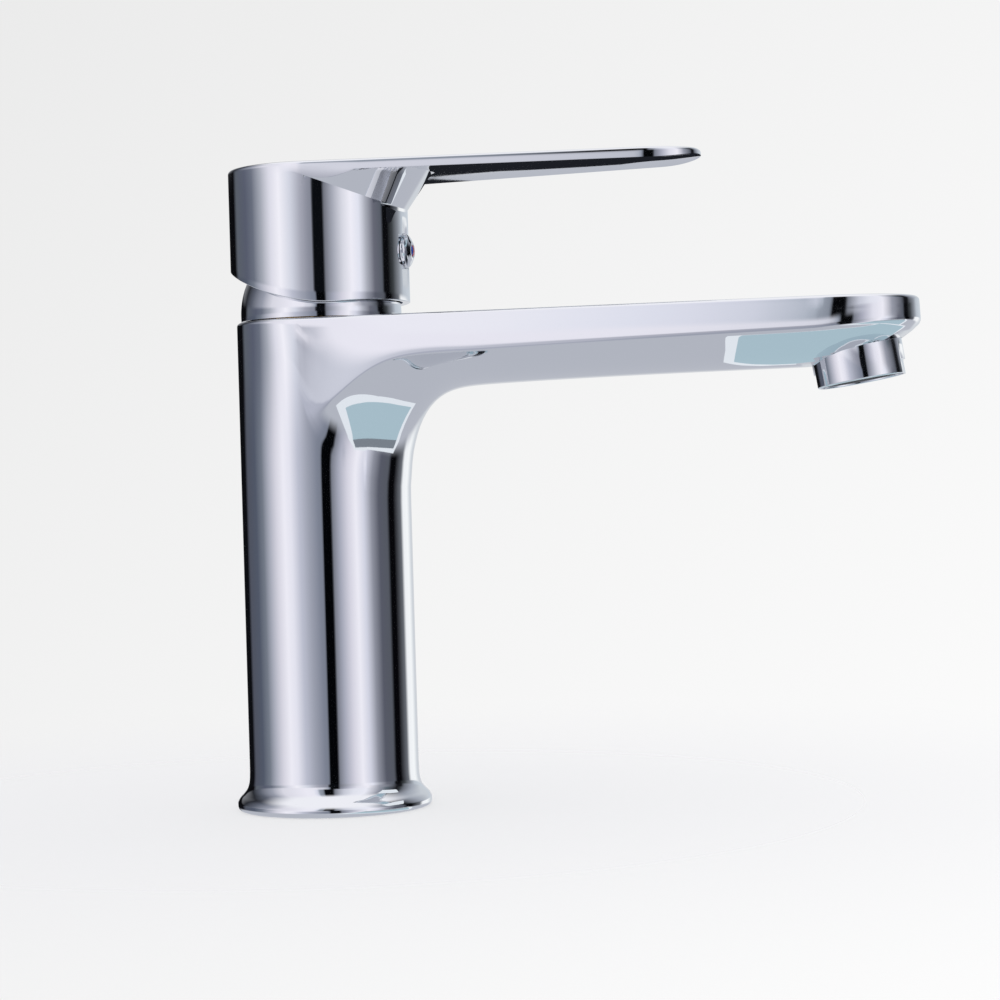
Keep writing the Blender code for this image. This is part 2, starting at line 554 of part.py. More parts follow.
def build_handle(mats):
    relief_top = HANDLE_FOOT + HANDLE_RELIEF_SLOPE * HANDLE_RADIUS
    bm = arm_solid(LEVER, HANDLE_TOP, 0.8 * MM, 0.0, lever_band, lever_under,
                   [1.0, 0.86, 0.68, 0.50, 0.33, 0.20, 0.12, 0.08, 0.05, 0.02, 0.0],
                   3.0 * MM, [relief_top + 0.001], [(HANDLE_RADIUS, HANDLE_FOOT)])
    slope = HANDLE_RELIEF_SLOPE
    bmesh.ops.bisect_plane(bm, geom=bm.verts[:] + bm.edges[:] + bm.faces[:], dist=1e-7,
                           plane_co=(0.0, 0.0, HANDLE_FOOT), plane_no=(-slope, 0.0, -1.0),
                           clear_outer=True)
    rim = [e for e in bm.edges if e.is_boundary]
    bmesh.ops.contextual_create(bm, geom=rim)
    handle = finish("handle", bm, mats["chrome"])
    ceiling = PIVOT_Z + math.sqrt(CAVITY_RADIUS ** 2 - BOSS_RADIUS ** 2)
    arc = sphere_arc(CAVITY_RADIUS, HANDLE_FOOT - 0.004, ceiling, 10)
    cut_lathe(handle, "cut_handle_cavity",
              [(0.0, HANDLE_FOOT - 0.004)] + arc + [(BOSS_RADIUS, PIVOT_Z + 0.009),
                                                    (0.0, PIVOT_Z + 0.009)], 36)
    cut_box(handle, "cut_stem_socket",
            (-STEM_HALF_X - 0.35 * MM, -STEM_HALF_Y - 0.35 * MM, PIVOT_Z),
            (STEM_HALF_X + 0.35 * MM, STEM_HALF_Y + 0.35 * MM, STEM_TOP + 0.0005))
    front = axis_frame((0, 0, INDICATOR_Z), (1, 0, 0))
    cut_lathe(handle, "cut_grub_hole", rod_profile(GRUB_RADIUS + GAP, 0.0020, HANDLE_RADIUS), 16, front)
    cut_lathe(handle, "cut_plug_hole",
              rod_profile(INDICATOR_RADIUS - 0.9 * MM, HANDLE_RADIUS - 0.0055, HANDLE_RADIUS), 20, front)
    cut_lathe(handle, "cut_plug_seat",
              rod_profile(INDICATOR_RADIUS + GAP, HANDLE_RADIUS - 0.0008, HANDLE_RADIUS + 0.003), 24, front)

    grub = finish("grub_screw", lathe(rod_profile(GRUB_RADIUS, STEM_HALF_X + 0.4 * MM,
                                                  BOSS_RADIUS - 0.2 * MM), 20, front), mats["steel"])
    cut_lathe(grub, "cut_hex_socket", rod_profile(0.0014, BOSS_RADIUS - 0.0020, BOSS_RADIUS + 0.001), 6,
              front)

    r = INDICATOR_RADIUS
    x = HANDLE_RADIUS
    finish("indicator_plug", lathe([
        (0.0, x - 0.0050), (r - 1.2 * MM, x - 0.0050), (r - 1.2 * MM, x - 0.0005),
        (r - 0.2 * MM, x - 0.0005), (r, x - 0.0003), (r, x + 0.0003), (0.90 * r, x + 0.0009),
        (0.70 * r, x + 0.0016), (MARKER_RADIUS + 0.6 * MM, x + 0.0021),
        (MARKER_RADIUS + GAP, x + 0.0021), (MARKER_RADIUS + GAP, x + 0.0006),
        (0.0, x + 0.0006)], 24, front), mats["chrome"])
    for side, label in ((1, "red"), (-1, "blue")):
        marker = finish("marker_" + label, lathe([
            (0.0, x + 0.0009), (MARKER_RADIUS, x + 0.0009), (MARKER_RADIUS, x + 0.0020),
            (0.6 * MARKER_RADIUS, x + 0.0024), (0.0, x + 0.0025)], 20, front), mats[label])
        near, far = sorted((-side * 0.006, side * 0.15 * MM))
        cut_box(marker, "cut_half_" + label, (0.0, near, INDICATOR_Z - 0.006),
                (0.040, far, INDICATOR_Z + 0.006))


# ---------------------------------------------------------------- aerator
def round_pattern(count, radius, start=0.0):
    return [(radius * math.cos(start + math.tau * i / count),
             radius * math.sin(start + math.tau * i / count)) for i in range(count)]


def cut_holes(target, name, centres, radius, low, high):
    """Several parallel holes along the outlet axis, as one cutting tool."""
    bm = bmesh.new()
    for x, y in centres:
        place = OUTLET @ Matrix.Translation((x, y, (low + high) / 2))
        bmesh.ops.create_cone(bm, cap_ends=True, segments=8, radius1=radius, radius2=radius,
                              depth=high - low, matrix=place)
    combine(target, finish(name, bm))


def build_aerator(mats):
    rad = AERATOR_RADIUS
    bore = AERATOR_BORE
    housing = finish("aerator_housing", lathe([
        (bore + 0.7 * MM, 0.0), (rad - 0.5 * MM, 0.0), (rad, 0.0005), (rad, 0.0095),
        (AERATOR_THREAD_RADIUS, 0.0095), (AERATOR_THREAD_RADIUS, 0.0155), (bore, 0.0155),
        (bore, 0.0014), (bore - 0.7 * MM, 0.0014), (bore - 0.7 * MM, 0.0007)], 40, OUTLET),
        mats["chrome"])
    for side, label in ((1, "rear"), (-1, "front")):
        near, far = sorted((side * AERATOR_FLATS_HALF, side * (rad + 0.002)))
        flat = box((near, -0.014, -0.001), (far, 0.014, 0.0038))
        bmesh.ops.transform(flat, matrix=OUTLET, verts=flat.verts)
        combine(housing, finish("cut_flat_" + label, flat))
    insert = finish("flow_straightener", lathe(rod_profile(bore - GAP, 0.0017, 0.0085), 32, OUTLET),
                    mats["mesh"])
    screen = finish("aerator_screen", lathe(rod_profile(bore - GAP, 0.0088, 0.0096), 32, OUTLET),
                    mats["steel"])
    regulator = finish("flow_regulator", lathe(rod_profile(bore - GAP, 0.0099, 0.0135), 32, OUTLET),
                       mats["polymer"])
    holes = [(0.0, 0.0)] + round_pattern(6, 0.42 * bore) + round_pattern(12, 0.80 * bore, 0.26)
    cut_holes(insert, "cut_straightener", holes, 0.0012, 0.0005, 0.0100)
    cut_holes(screen, "cut_screen", round_pattern(6, 0.55 * bore), 0.0019, 0.0080, 0.0110)
    cut_holes(regulator, "cut_regulator", round_pattern(6, 0.55 * bore), 0.0014, 0.0090, 0.0140)
    finish("aerator_washer", lathe(tube_profile(bore - 1.3 * MM, AERATOR_THREAD_RADIUS - 0.1 * MM,
                                                0.0158, 0.0173), 32, OUTLET), mats["rubber"])


def build():
    clear_scene()
    mats = {
        "chrome": material("polished_chrome", (0.80, 0.81, 0.84), 1.0, 0.06),
        "brass": material("machined_brass", (0.78, 0.60, 0.28), 1.0, 0.30),
        "steel": material("stainless_steel", (0.62, 0.62, 0.64), 1.0, 0.28),
        "polymer": material("pale_acetal", (0.80, 0.80, 0.78), 0.0, 0.45),
        "carrier": material("grey_acetal", (0.42, 0.43, 0.45), 0.0, 0.45),
        "rotor": material("dark_acetal", (0.12, 0.12, 0.13), 0.0, 0.40),
        "limit": material("orange_acetal", (0.75, 0.16, 0.05), 0.0, 0.45),
        "ceramic": material("alumina_ceramic", (0.88, 0.86, 0.80), 0.0, 0.15),
        "rubber": material("black_rubber", (0.03, 0.03, 0.03), 0.0, 0.70),
        "mesh": material("grey_polymer_mesh", (0.30, 0.31, 0.33), 0.0, 0.50),
        "red": material("red_marker", (0.65, 0.02, 0.02), 0.0, 0.30),
        "blue": material("blue_marker", (0.02, 0.08, 0.50), 0.0, 0.30),
    }
    build_body(mats["chrome"])
    finish("base_seal", lathe(tube_profile(HOLLOW_RADIUS + 1.6 * MM, FLANGE_RADIUS - 3.1 * MM,
                                           0.0, 0.0021), 32), mats["rubber"])
    build_cartridge(mats)
    build_cover(mats)
    build_handle(mats)
    build_aerator(mats)
    for name in ("handle", "spindle", "grub_screw", "indicator_plug", "marker_red", "marker_blue"):
        set_origin(bpy.data.objects[name], (0.0, 0.0, PIVOT_Z))


build()
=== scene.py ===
"""Looks for the single-lever basin mixer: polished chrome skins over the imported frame."""
import json
import math

import bmesh
import bpy
from mathutils import Matrix, Vector


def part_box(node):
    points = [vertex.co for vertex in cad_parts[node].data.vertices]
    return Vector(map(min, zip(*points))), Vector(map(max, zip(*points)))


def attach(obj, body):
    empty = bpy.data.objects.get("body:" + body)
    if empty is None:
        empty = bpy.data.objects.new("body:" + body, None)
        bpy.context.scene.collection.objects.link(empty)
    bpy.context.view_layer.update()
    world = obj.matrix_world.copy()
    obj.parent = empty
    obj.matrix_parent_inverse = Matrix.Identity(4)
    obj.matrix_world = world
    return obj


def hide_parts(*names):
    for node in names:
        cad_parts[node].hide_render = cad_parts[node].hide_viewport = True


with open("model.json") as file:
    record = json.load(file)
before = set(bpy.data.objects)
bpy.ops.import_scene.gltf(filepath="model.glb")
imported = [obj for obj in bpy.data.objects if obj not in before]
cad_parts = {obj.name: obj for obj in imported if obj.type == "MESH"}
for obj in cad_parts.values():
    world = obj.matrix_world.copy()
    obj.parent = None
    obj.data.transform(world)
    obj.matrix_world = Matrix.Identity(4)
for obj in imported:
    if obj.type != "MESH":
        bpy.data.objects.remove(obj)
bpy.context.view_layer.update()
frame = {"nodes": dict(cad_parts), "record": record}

MM = 0.001

# ------------------------------------------------------------------ sizes, in metres
body_low, body_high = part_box("body")
handle_low, handle_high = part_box("handle")
dome_low, dome_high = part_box("dome_cover")
plug_low, plug_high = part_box("indicator_plug")
PIVOT_Z = next(j for j in frame["record"]["behaviour"]["joints"] if j["name"] == "lever_lift")["pos_m"][2]

COLUMN_RADIUS = 0.0235
FLANGE_RADIUS = -body_low[0]
BODY_TOP = body_high[2]
SPOUT_TIP_X = body_high[0]
SPOUT_TIP_HALF_WIDTH = 0.0212
SPOUT_TIP_LENGTH = 0.0250
SPOUT_TIP_POWER = 2.3
SPOUT_BAND = 0.0118
SPOUT_BAND_RISE = 0.0205
SPOUT_LEAN = 0.0010
SPOUT_DEPTH = 0.0175
SPOUT_TIP_RISE = 0.053      # how the band narrows towards the tip
SPOUT_ROOT_SAG = 0.0026     # extra depth of the spout next to the column
SPOUT_ROOT_LENGTH = 0.045
FILLET_REACH = 0.0170
FILLET_DROP = 0.0300
FILLET_POWER = 2.5
FILLET_TURN = 62.0          # degrees from the front where the blend starts to fade
FILLET_FADE = 27.0          # degrees it takes to fade out
BODY_EDGE = 1.0 * MM
CHAMBER_RADIUS = 0.0188
CHAMBER_FLOOR = 0.1075
BRIDGE_BOTTOM = 0.0860
HOLLOW_RADIUS = 0.0200

HANDLE_RADIUS = -handle_low[0]
HANDLE_TOP = handle_high[2]
HANDLE_FOOT = handle_low[2]
HANDLE_EDGE = 0.8 * MM
LEVER_TIP_X = handle_high[0]
LEVER_TIP_HALF_WIDTH = 0.0130
LEVER_TIP_LENGTH = 0.0156
LEVER_TIP_POWER = 2.4
LEVER_THICKNESS = 0.0028
LEVER_SCOOP = 0.0012
LEVER_LEAN = 0.00009
LEVER_TIP_THIN = 0.0120     # length over which the tip gets thinner
LEVER_TIP_RISE = 0.0013
GUSSET_DROP = 0.0120
GUSSET_SIDE_RISE = 0.0095
GUSSET_SLOPE = 1.45
RELIEF_START = 0.0120
RELIEF_CURVE = 8.3
FOOT_RISE = 0.9 * MM
HANDLE_FOOT_EDGE = 0.25 * MM
STEM_HOLE_RADIUS = 5.7 * MM
GRUB_HOLE_RADIUS = 2.6 * MM
CAVITY_RADIUS = 0.0229
BOSS_RADIUS = 0.0085
STEM_TOP = 0.1655

DOME_RADIUS = dome_high[0]
DOME_WALL = 0.0010

INDICATOR_Z = (plug_low[2] + plug_high[2]) / 2
INDICATOR_RADIUS = (plug_high[2] - plug_low[2]) / 2
MARKER_RADIUS = 0.0016
MARKER_SPLIT = -0.7 * MM    # where red and blue meet, towards the blue side
MARKER_GAP = 0.06 * MM

AERATOR_X = 0.1492
AERATOR_Z = 0.1130
AERATOR_TILT = math.radians(9.0)
AERATOR_RADIUS = 0.0122
AERATOR_THREAD_RADIUS = 0.0110
AERATOR_FLATS_HALF = 0.0113
AERATOR_BORE = 0.0099
AERATOR_HEAD = 9.5 * MM
AERATOR_LENGTH = 15.5 * MM
AERATOR_STEP = 1.6 * MM      # depth of the wide mouth


# ------------------------------------------------------------------ mesh helpers
def link(name, bm, mat, sharp=28.0):
    bmesh.ops.remove_doubles(bm, verts=bm.verts, dist=2e-6)
    bmesh.ops.dissolve_degenerate(bm, edges=bm.edges, dist=1e-7)
    bmesh.ops.recalc_face_normals(bm, faces=bm.faces)
    mesh = bpy.data.meshes.new(name)
    bm.to_mesh(mesh)
    bm.free()
    obj = bpy.data.objects.new(name, mesh)
    bpy.context.scene.collection.objects.link(obj)
    mesh.shade_smooth()
    mesh.set_sharp_from_angle(angle=math.radians(sharp))
    if mat is not None:
        mesh.materials.append(mat)
    return obj


def axis_frame(origin, direction):
    turn = Vector((0.0, 0.0, 1.0)).rotation_difference(Vector(direction).normalized())
    return Matrix.Translation(Vector(origin)) @ turn.to_matrix().to_4x4()


def lathe(profile, segments, placement=None):
    """Closed (radius, height) outline turned once round its Z axis."""
    bm = bmesh.new()
    verts = [bm.verts.new((r, 0.0, z)) for r, z in profile]
    edges = [bm.edges.new((verts[i], verts[(i + 1) % len(verts)])) for i in range(len(verts))]
    edges = [e for e in edges if max(e.verts[0].co.x, e.verts[1].co.x) > 1e-9]
    bmesh.ops.spin(bm, geom=verts + edges, cent=(0, 0, 0), axis=(0, 0, 1),
                   angle=math.tau, steps=segments, use_merge=True)
    loose = [e for e in bm.edges if not e.link_faces]
    bmesh.ops.delete(bm, geom=loose, context='EDGES')
    if placement is not None:
        bmesh.ops.transform(bm, matrix=placement, verts=bm.verts)
    return bm


def rounded(corners, radius, steps=5):
    """The corners of a closed outline replaced by small arcs; radius may be one per corner."""
    out = []
    count = len(corners)
    for i, corner in enumerate(corners):
        r = radius[i] if isinstance(radius, (list, tuple)) else radius
        p = Vector(corner)
        a = Vector(corners[i - 1]) - p
        b = Vector(corners[(i + 1) % count]) - p
        if r <= 0.0 or min(a.length, b.length) < 1e-9:
            out.append(tuple(p))
            continue
        half = a.angle(b) / 2
        cut = min(r / math.tan(half), 0.45 * a.length, 0.45 * b.length)
        start, end = p + a.normalized() * cut, p + b.normalized() * cut
        for k in range(steps + 1):
            t = k / steps
            out.append(tuple(start * (1 - t) ** 2 + p * 2 * t * (1 - t) + end * t * t))
    return out


def boolean(target, bm, name, operation='DIFFERENCE'):
    """Cut with a hidden tool and keep the result in the mesh."""
    tool = link(name, bm, None)
    mod = target.modifiers.new(name, 'BOOLEAN')
    mod.operation = operation
    mod.solver = 'EXACT'
    mod.object = tool
    bpy.context.view_layer.update()
    graph = bpy.context.evaluated_depsgraph_get()
    done = bpy.data.meshes.new_from_object(target.evaluated_get(graph))
    target.modifiers.remove(mod)
    old = target.data
    target.data = done
    bpy.data.meshes.remove(old)
    bpy.data.objects.remove(tool, do_unlink=True)


def smoothstep(value, low, high):
    t = min(1.0, max(0.0, (value - low) / (high - low)))
    return t * t * (3.0 - 2.0 * t)


# ------------------------------------------------------------------ arm on a round column
class Arm:
    """Round column with a flat arm along +X: the outline seen from above."""

    def __init__(self, radius, tip_x, tip_half, tip_length, power, back, side, tip):
        self.radius = radius
        self.x0 = tip_x - tip_length
        self.tip_length = tip_length
        self.power = power
        reach = math.hypot(self.x0, tip_half)
        self.alpha = math.atan2(tip_half, self.x0) + math.acos(radius / reach)
        self.columns = []
        for i in range(back):
            a = self.alpha + (math.tau - 2 * self.alpha) * i / back
            self.columns.append((radius * math.cos(a), radius * math.sin(a), a, True))
        front = []
        start = radius * math.cos(self.alpha)
        for i in range(side + 1):
            x = start + (self.x0 - start) * (i / (side + 1)) ** 1.15
            front.append((x, -self.half_width(x)))
        for i in range(tip + 1):
            a = math.pi / 2 * i / tip
            u = math.sin(a) ** (2.0 / power)
            s = math.cos(a) ** (2.0 / power) if i < tip else 0.0
            x = self.x0 + tip_length * u
            front.append((x, -self.half_width(x) * s))
        front += [(x, -y) for x, y in reversed(front[:-1])]
        count = len(front) - 1
        for i, (x, y) in enumerate(front[:-1]):
            a = -self.alpha + 2 * self.alpha * i / count
            self.columns.append((x, y, a, i == 0))
        self.normals = []
        total = len(self.columns)
        for i, (x, y, a, on_column) in enumerate(self.columns):
            if on_column and i != back:
                self.normals.append(Vector((math.cos(a), math.sin(a))))
                continue
            before, after = self.columns[i - 1], self.columns[(i + 1) % total]
            along = Vector((after[0] - before[0], after[1] - before[1]))
            self.normals.append(Vector((along.y, -along.x)).normalized())

    def half_width(self, x):
        return (self.radius - x * math.cos(self.alpha)) / math.sin(self.alpha)

    def spread(self, x, y):
        """0 on the centre line, 1 on the outline of the arm."""
        u = max(0.0, (x - self.x0) / self.tip_length)
        t = abs(y) / self.half_width(x)
        return min(1.0, (t ** self.power + u ** self.power) ** (1.0 / self.power))

    def lean_weight(self, x):
        rise = smoothstep(x, -0.5 * self.radius, 0.7 * self.radius)
        fall = min(1.0, max(0.0, (x - self.x0) / self.tip_length))
        return rise * (1.0 - 0.7 * fall)

    def moved(self, i, distance):
        x, y = self.columns[i][:2]
        n = self.normals[i]
        return x - n.x * distance, y - n.y * distance

    def on_circle(self, i, radius):
        a = self.columns[i][2]
        return radius * math.cos(a), radius * math.sin(a)


def wrap_grid(columns, rows):
    """A closed skin: a grid whose columns go round, one entry of rows for each ring.

    Each row is a function of the column number that gives a point.
    """
    bm = bmesh.new()
    bmesh.ops.create_grid(bm, x_segments=columns, y_segments=len(rows) - 1, size=1.0)
    for v in bm.verts:
        i = round((v.co.x + 1) / 2 * columns) % columns
        j = round((v.co.y + 1) / 2 * (len(rows) - 1))
        v.co = rows[j](i)
    return bm


def soften(bm, times, inside, column):
    """Smooths part of a skin; points on the column keep their distance from its axis."""
    bmesh.ops.remove_doubles(bm, verts=bm.verts, dist=2e-6)
    verts = [v for v in bm.verts if inside(v.co)]
    on_column = [(v, v.co.xy.length) for v in verts if v.co.xy.length < column + 0.1 * MM]
    for _ in range(times):
        bmesh.ops.smooth_vert(bm, verts=verts, factor=0.5,
                              use_axis_x=True, use_axis_y=True, use_axis_z=True)
    for v, radius in on_column:
        v.co.xy = v.co.xy.normalized() * radius


def ring_rows(arm, radius_heights):
    return [lambda i, r=r, z=z: (*arm.on_circle(i, r), z) for r, z in radius_heights]


def top_rows(arm, top, edge, lean, steps=7):
    """Rounded edge between a flat top and the side, the flat first."""
    rows = []
    for inset in (2.2 * edge, 1.25 * edge):
        rows.append(lambda i, d=inset: (*arm.moved(i, d + lean * arm.lean_weight(arm.columns[i][0])), top))
    for k in range(steps + 1):
        a = math.pi / 2 * k / steps
        d = edge * (1 - math.sin(a))
        h = top - edge * (1 - math.cos(a))
        rows.append(lambda i, d=d, h=h: (*arm.moved(i, d + lean * arm.lean_weight(arm.columns[i][0])), h))
    return rows


def band_rows(arm, top, edge, lean, bottom, steps=12):
    """The side band, from under the rounded edge down to the crease."""
    rows = []
    for k in range(1, steps):
        t = k / steps
        t = t if k < steps - 1 else 0.97

        def row(i, t=t):
            x, y = arm.columns[i][:2]
            low = bottom(x, y)
            d = lean * arm.lean_weight(x) * (1 - t) ** 1.5
            return (*arm.moved(i, d), (top - edge) * (1 - t) + low * t)
        rows.append(row)
    return rows


def under_rows(arm, bottom, under, back_drop, steps, power):
    """The underside, from the crease to where it meets the column."""
    rows = []
    for k in range(steps + 1):
        f = (1 - k / steps) ** power

        def row(i, f=f, k=k):
            x, y, a, on_column = arm.columns[i]
            cx, cy = arm.on_circle(i, arm.radius)
            if on_column:
                return (cx, cy, bottom(x, y) - (1 - f) * back_drop)
            px, py = cx + (x - cx) * f, cy + (y - cy) * f
            return (px, py, bottom(x, y) if k == 0 else under(px, py))
        rows.append(row)
    return rows


def smooth_path(points, steps):
    """A smooth curve through (radius, height) points."""
    out = []
    for i in range(len(points) - 1):
        p0 = Vector(points[max(i - 1, 0)])
        p1, p2 = Vector(points[i]), Vector(points[i + 1])
        p3 = Vector(points[min(i + 2, len(points) - 1)])
        for k in range(steps):
            t = k / steps
            out.append(tuple(0.5 * ((2 * p1) + (p2 - p0) * t + (2 * p0 - 5 * p1 + 4 * p2 - p3) * t * t
                                    + (3 * p1 - p0 - 3 * p2 + p3) * t ** 3)))
    out.append(points[-1])
    return out


# ------------------------------------------------------------------ node groups and materials
def new_group(name, inputs, outputs):
    group = bpy.data.node_groups.new(name, 'ShaderNodeTree')
    for label, kind, default in inputs:
        socket = group.interface.new_socket(name=label, in_out='INPUT', socket_type=kind)
        socket.default_value = default
    for label, kind in outputs:
        group.interface.new_socket(name=label, in_out='OUTPUT', socket_type=kind)
    return group, group.nodes.new('NodeGroupInput'), group.nodes.new('NodeGroupOutput')


def node(tree, kind, values=None, **settings):
    n = tree.nodes.new(kind)
    for key, value in settings.items():
        setattr(n, key, value)
    for key, value in (values or {}).items():
        n.inputs[key].default_value = value
    return n


def wire(tree, *pairs):
    for a, b in pairs:
        tree.links.new(a, b)


def smudge_group():
    """Roughness that varies with faint wiping marks, and a height for fine polishing lines."""
    g, gin, gout = new_group(
        "polish_marks",
        [("Scale", 'NodeSocketFloat', 1.0), ("Low Roughness", 'NodeSocketFloat', 0.03),
         ("High Roughness", 'NodeSocketFloat', 0.07)],
        [("Roughness", 'NodeSocketFloat'), ("Height", 'NodeSocketFloat')])
    coords = node(g, 'ShaderNodeTexCoord')
    scaled = node(g, 'ShaderNodeVectorMath', operation='SCALE')
    broad = node(g, 'ShaderNodeTexNoise', {"Scale": 38.0, "Detail": 3.0, "Roughness": 0.6})
    stretch = node(g, 'ShaderNodeMapping', {"Scale": (900.0, 900.0, 60.0)})
    lines = node(g, 'ShaderNodeTexNoise', {"Scale": 1.0, "Detail": 2.0, "Roughness": 0.5})
    wave = node(g, 'ShaderNodeTexNoise', {"Scale": 55.0, "Detail": 1.0, "Roughness": 0.4})
    mask = node(g, 'ShaderNodeMapRange', {"From Min": 0.35, "From Max": 0.75})
    mix = node(g, 'ShaderNodeMix', data_type='FLOAT')
    weigh = node(g, 'ShaderNodeMath', {1: 0.06}, operation='MULTIPLY')
    add = node(g, 'ShaderNodeMath', operation='ADD')
    wire(g, (coords.outputs['Object'], scaled.inputs[0]), (gin.outputs['Scale'], scaled.inputs['Scale']),
         (scaled.outputs[0], broad.inputs['Vector']), (scaled.outputs[0], stretch.inputs['Vector']),
         (stretch.outputs[0], lines.inputs['Vector']), (scaled.outputs[0], wave.inputs['Vector']),
         (broad.outputs['Fac'], mask.inputs['Value']), (mask.outputs[0], mix.inputs[0]),
         (gin.outputs['Low Roughness'], mix.inputs[2]), (gin.outputs['High Roughness'], mix.inputs[3]),
         (mix.outputs[0], gout.inputs['Roughness']),
         (lines.outputs['Fac'], weigh.inputs[0]), (weigh.outputs[0], add.inputs[0]),
         (wave.outputs['Fac'], add.inputs[1]), (add.outputs[0], gout.inputs['Height']))
    return g


def grain_group():
    """Fine grain for moulded and machined surfaces."""
    g, gin, gout = new_group(
        "surface_grain",
        [("Scale", 'NodeSocketFloat', 1200.0), ("Dark", 'NodeSocketColor', (0.5, 0.5, 0.5, 1)),
         ("Light", 'NodeSocketColor', (0.6, 0.6, 0.6, 1))],
        [("Color", 'NodeSocketColor'), ("Roughness Shift", 'NodeSocketFloat'),
         ("Height", 'NodeSocketFloat')])
    coords = node(g, 'ShaderNodeTexCoord')
    fine = node(g, 'ShaderNodeTexNoise', {"Detail": 4.0, "Roughness": 0.6})
    slow = node(g, 'ShaderNodeTexNoise', {"Scale": 70.0, "Detail": 3.0, "Roughness": 0.55})
    mix = node(g, 'ShaderNodeMix', data_type='RGBA')
    shift = node(g, 'ShaderNodeMapRange', {"To Min": -0.06, "To Max": 0.06})
    wire(g, (coords.outputs['Object'], fine.inputs['Vector']), (gin.outputs['Scale'], fine.inputs['Scale']),
         (coords.outputs['Object'], slow.inputs['Vector']), (slow.outputs['Fac'], mix.inputs[0]),
         (gin.outputs['Dark'], mix.inputs[6]), (gin.outputs['Light'], mix.inputs[7]),
         (mix.outputs[2], gout.inputs['Color']), (fine.outputs['Fac'], shift.inputs['Value']),
         (shift.outputs[0], gout.inputs['Roughness Shift']), (fine.outputs['Fac'], gout.inputs['Height']))
    return g


POLISH = smudge_group()
GRAIN = grain_group()
CHROME_COLOR = (0.80, 0.81, 0.84)


def chrome(name, low=0.02, high=0.045, bump=0.000004):
    mat = bpy.data.materials.new(name)
    mat.use_nodes = True
    t = mat.node_tree
    shader = t.nodes['Principled BSDF']
    shader.inputs['Base Color'].default_value = (*CHROME_COLOR, 1)
    shader.inputs['Metallic'].default_value = 1.0
    marks = node(t, 'ShaderNodeGroup', node_tree=POLISH)
    marks.inputs['Low Roughness'].default_value = low
    marks.inputs['High Roughness'].default_value = high
    relief = node(t, 'ShaderNodeBump', {"Strength": 1.0, "Distance": bump})
    wire(t, (marks.outputs['Roughness'], shader.inputs['Roughness']),
         (marks.outputs['Height'], relief.inputs['Height']),
         (relief.outputs['Normal'], shader.inputs['Normal']))
    return mat


def grained(name, dark, light, roughness, metallic=0.0, scale=1200.0, bump=0.00001, coat=0.0):
    mat = bpy.data.materials.new(name)
    mat.use_nodes = True
    t = mat.node_tree
    shader = t.nodes['Principled BSDF']
    shader.inputs['Metallic'].default_value = metallic
    shader.inputs['Coat Weight'].default_value = coat
    grain = node(t, 'ShaderNodeGroup', node_tree=GRAIN)
    grain.inputs['Scale'].default_value = scale
    grain.inputs['Dark'].default_value = (*dark, 1)
    grain.inputs['Light'].default_value = (*light, 1)
    rough = node(t, 'ShaderNodeMath', {1: roughness}, operation='ADD')
    relief = node(t, 'ShaderNodeBump', {"Strength": 1.0, "Distance": bump})
    wire(t, (grain.outputs['Color'], shader.inputs['Base Color']),
         (grain.outputs['Roughness Shift'], rough.inputs[0]),
         (rough.outputs[0], shader.inputs['Roughness']),
         (grain.outputs['Height'], relief.inputs['Height']),
         (relief.outputs['Normal'], shader.inputs['Normal']))
    return mat


MATERIALS = {
    "body_chrome": chrome("body_chrome"),
    "handle_chrome": chrome("handle_chrome"),
    "dome_chrome": chrome("dome_chrome"),
    "aerator_chrome": chrome("aerator_chrome", low=0.04, high=0.07),
    "indicator_chrome": chrome("indicator_chrome", low=0.03, high=0.06),
    "brass": grained("brass", (0.62, 0.42, 0.16), (0.78, 0.58, 0.26), 0.28, 1.0, 2500.0, 0.00001),
    "pin_steel": grained("pin_steel", (0.48, 0.48, 0.50), (0.64, 0.64, 0.66), 0.28, 1.0, 2500.0),
    "screen_steel": grained("screen_steel", (0.42, 0.42, 0.44), (0.60, 0.60, 0.62), 0.32, 1.0, 2500.0),
    "acetal": grained("acetal", (0.66, 0.66, 0.63), (0.80, 0.80, 0.77), 0.45),
    "carrier": grained("carrier", (0.30, 0.31, 0.33), (0.40, 0.41, 0.43), 0.45),
    "rotor": grained("rotor", (0.05, 0.05, 0.055), (0.10, 0.10, 0.11), 0.42),
    "limit": grained("limit", (0.55, 0.08, 0.02), (0.75, 0.16, 0.05), 0.42),
    "straightener": grained("straightener", (0.05, 0.055, 0.06), (0.11, 0.115, 0.125), 0.45),
    "ceramic": grained("ceramic", (0.80, 0.78, 0.70), (0.92, 0.90, 0.84), 0.16, 0.0, 600.0, 0.000004, 0.3),
    "rubber": grained("rubber", (0.012, 0.012, 0.012), (0.03, 0.03, 0.03), 0.66, 0.0, 1500.0, 0.00002),
    "marker_red": grained("marker_red", (0.42, 0.01, 0.012), (0.62, 0.02, 0.02),
                          0.28, 0.0, 900.0, 0.000004, 0.5),
    "marker_blue": grained("marker_blue", (0.01, 0.04, 0.30), (0.02, 0.08, 0.50),
                           0.28, 0.0, 900.0, 0.000004, 0.5),
}

OUTLET = axis_frame((AERATOR_X, 0.0, AERATOR_Z),
                    (-math.sin(AERATOR_TILT), 0.0, math.cos(AERATOR_TILT)))
FRONT = axis_frame((0, 0, INDICATOR_Z), (1, 0, 0))


# ------------------------------------------------------------------ body
SPOUT = Arm(COLUMN_RADIUS, SPOUT_TIP_X, SPOUT_TIP_HALF_WIDTH, SPOUT_TIP_LENGTH,
            SPOUT_TIP_POWER, back=84, side=54, tip=36)


